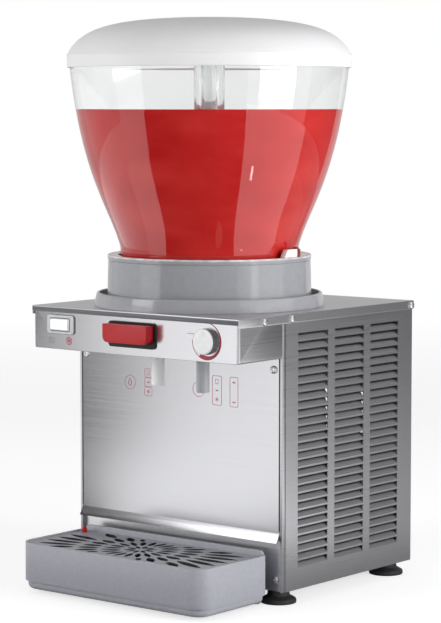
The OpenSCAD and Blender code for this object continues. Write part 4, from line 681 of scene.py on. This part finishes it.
for turn in range(30, 390, 60):
    x, z = arc(FLAKE_X, FLAKE_Z, TWIG_FROM, turn, turn, 1)[0]
    tips = [arc(x, z, TWIG, turn + lean, turn + lean, 1)[0] for lean in (60, -60)]
    drawn(bm, [tips[0], (x, z), tips[1]], 0.7, face)
shown_piece(bm, "red_prints", red_print, "cabinet")
bm = bmesh.new()
drawn(bm, box_line(PLATE_X, PLATE_Z, *PLATE), 0.5, face, close=True)
drawn(bm, ZIGZAG, 0.6, face)
bars(bm, 0, DASH_Z, DASH_X, DASH, 1.2, face)
shown_piece(bm, "grey_prints", grey_print, "cabinet")

# Spout and drain: the white moulded spout pushed on the tap under the console, and the grey plastic tube
# that leads the gutter's water to the tray. The steel behind them doesn't mirror them.
DRAIN_X, DRAIN_Y = 71.92, -106.58
SPOUT = [(5, 238.5, 0.6), (7.5, 238.5, 0.8), (7.5, 284.7, 0.4), (5, 284.7, 0.4)]
DRAIN = [(5.25, 237, 0.5), (7.25, 237, 0.6), (7.25, 324, 0.4), (5.25, 324, 0.4)]
spout_tube = shown_piece(turned(SPOUT, 48, (0, OUTLET_Y)), "spout_tube", white_plastic, "cabinet",
                         ["spout"])
drain_pipe = shown_piece(turned(DRAIN, 48, (DRAIN_X, DRAIN_Y)), "drain_pipe", grey_plastic, "cabinet",
                         ["drain_tube"])
spout_tube.visible_glossy = drain_pipe.visible_glossy = False

# Drip tray: a grey moulded tray on two steel arms, with a grid of petal slots and a red float. Its lower edge is
# well rounded, as the moulding needs. Its inside and the walls of the grid's slots are painted dark, as painted shade.
TRAY_EDGE_R, TRAY_EDGE_Z, TRAY_EDGE_X, TRAY_EDGE_Y = 6, 4.6, 100, -165  # the rounding, and where the edge lies
TRAY_FLOOR_Z, GRID_FOOT_Z, TRAY_MIDDLE_Y = 6, 52.4, -130
STEEP = 0.5  # the share of a normal along Z under which a face is a wall
SLOT_REACH = 40  # walls that look outwards from further than this are the grid's own edge
tray_plastic = finish("grey tray plastic", (0.33, 0.335, 0.375), (0.36, 0.365, 0.405), (0.36, 0.44), (220, 220, 220),
                      bump=0.05, Specular_IOR_Level=0.35)
# A near-black paint for the tray's inside and the grid's slot walls: painted shade, not a colour of the plastic.
tray_painted_shade = finish("painted shade in tray", (0.035, 0.036, 0.042), (0.055, 0.056, 0.064), (0.2, 0.4), (60, 60, 60))
grid_plastic = finish("grey grid plastic", (0.29, 0.295, 0.325), (0.32, 0.325, 0.355), (0.36, 0.44), (220, 220, 220),
                      bump=0.05, Specular_IOR_Level=0.35)
tray = rounded(cad_shape("drip_tray"), TRAY_EDGE_R, 5, clamp=False, pick=lambda edge: all(
    v.co.z < TRAY_EDGE_Z and (abs(v.co.x) > TRAY_EDGE_X or v.co.y < TRAY_EDGE_Y) for v in edge.verts))
rounded(tray, 0.9)


def outwards(face):
    """How far a face lies from the tray's middle in the direction that it looks, in millimetres."""
    middle = face.calc_center_median()
    return middle.x * face.normal.x + (middle.y - TRAY_MIDDLE_Y) * face.normal.y


# Faces inside the tray, under the grid, take the dark paint: painted shade.
for face in tray.faces:
    if TRAY_FLOOR_Z < face.calc_center_median().z < GRID_FOOT_Z:
        wall = abs(face.normal.z) < STEEP
        face.material_index = int(face.normal.z > STEEP or wall and outwards(face) < 0)
tray_body = shown_piece(tray, "tray_body", tray_plastic, "tray", ["drip_tray"])
tray_body.data.materials.append(tray_painted_shade)
grid = cad_shape("tray_grid")
# The walls of the grid's slots take the same painted shade.
for face in grid.faces:
    face.material_index = int(abs(face.normal.z) < STEEP and outwards(face) < SLOT_REACH)
grid_plate = shown_piece(grid, "grid_plate", grid_plastic, "grid", ["tray_grid"])
grid_plate.data.materials.append(tray_painted_shade)
dress(red_plastic, "tray_float")

# Works inside the cabinet: soldered copper pipe, the painted compressor and mixer drive, the condenser's
# aluminium fins, and the foam that is poured round the cooler. They stand on the base pan and the brackets.
copper = finish("copper", (0.55, 0.22, 0.12), (0.66, 0.3, 0.17), (0.25, 0.4), (90, 90, 90), Metallic=1.0)
black_paint = finish("black paint", (0.018, 0.018, 0.02), (0.03, 0.03, 0.033), (0.3, 0.42), (160, 160, 160), bump=0.05)
fins = finish("fin aluminium", (0.42, 0.43, 0.44), (0.52, 0.53, 0.54), (0.35, 0.5), (120, 120, 120), Metallic=1.0)
foam = finish("rigid foam", (0.6, 0.54, 0.36), (0.72, 0.66, 0.46), (0.8, 0.95), (300, 300, 300), bump=0.4)
dress(copper, "evaporator_coil", "suction_line", "filter_drier")
dress(black_paint, "compressor", "mixer_motor", "drive_magnet")
dress(fins, "condenser")
dress(foam, "insulation")

# Card limits: the front sheets don't mirror some cards at the left, and the bowl with its drink, collar and lid
# doesn't mirror those at the front, as if black flags stood between them.
GROUPS = {"front": ("console_sheet", "front_sheet"),
          "bowl": ("bowl_shell", "drink_fill", "lid_dome", "seat_collar", "collar_bead")}
for group, names in GROUPS.items():
    flagged = bpy.data.collections.new(f"{group} behind flags")
    for name in names:
        flagged.objects.link(bpy.data.objects[name])
    for entry in flagged.collection_objects:
        entry.light_linking.link_state = "EXCLUDE"
    for card in unmirrored[group]:
        card.light_linking.receiver_collection = flagged
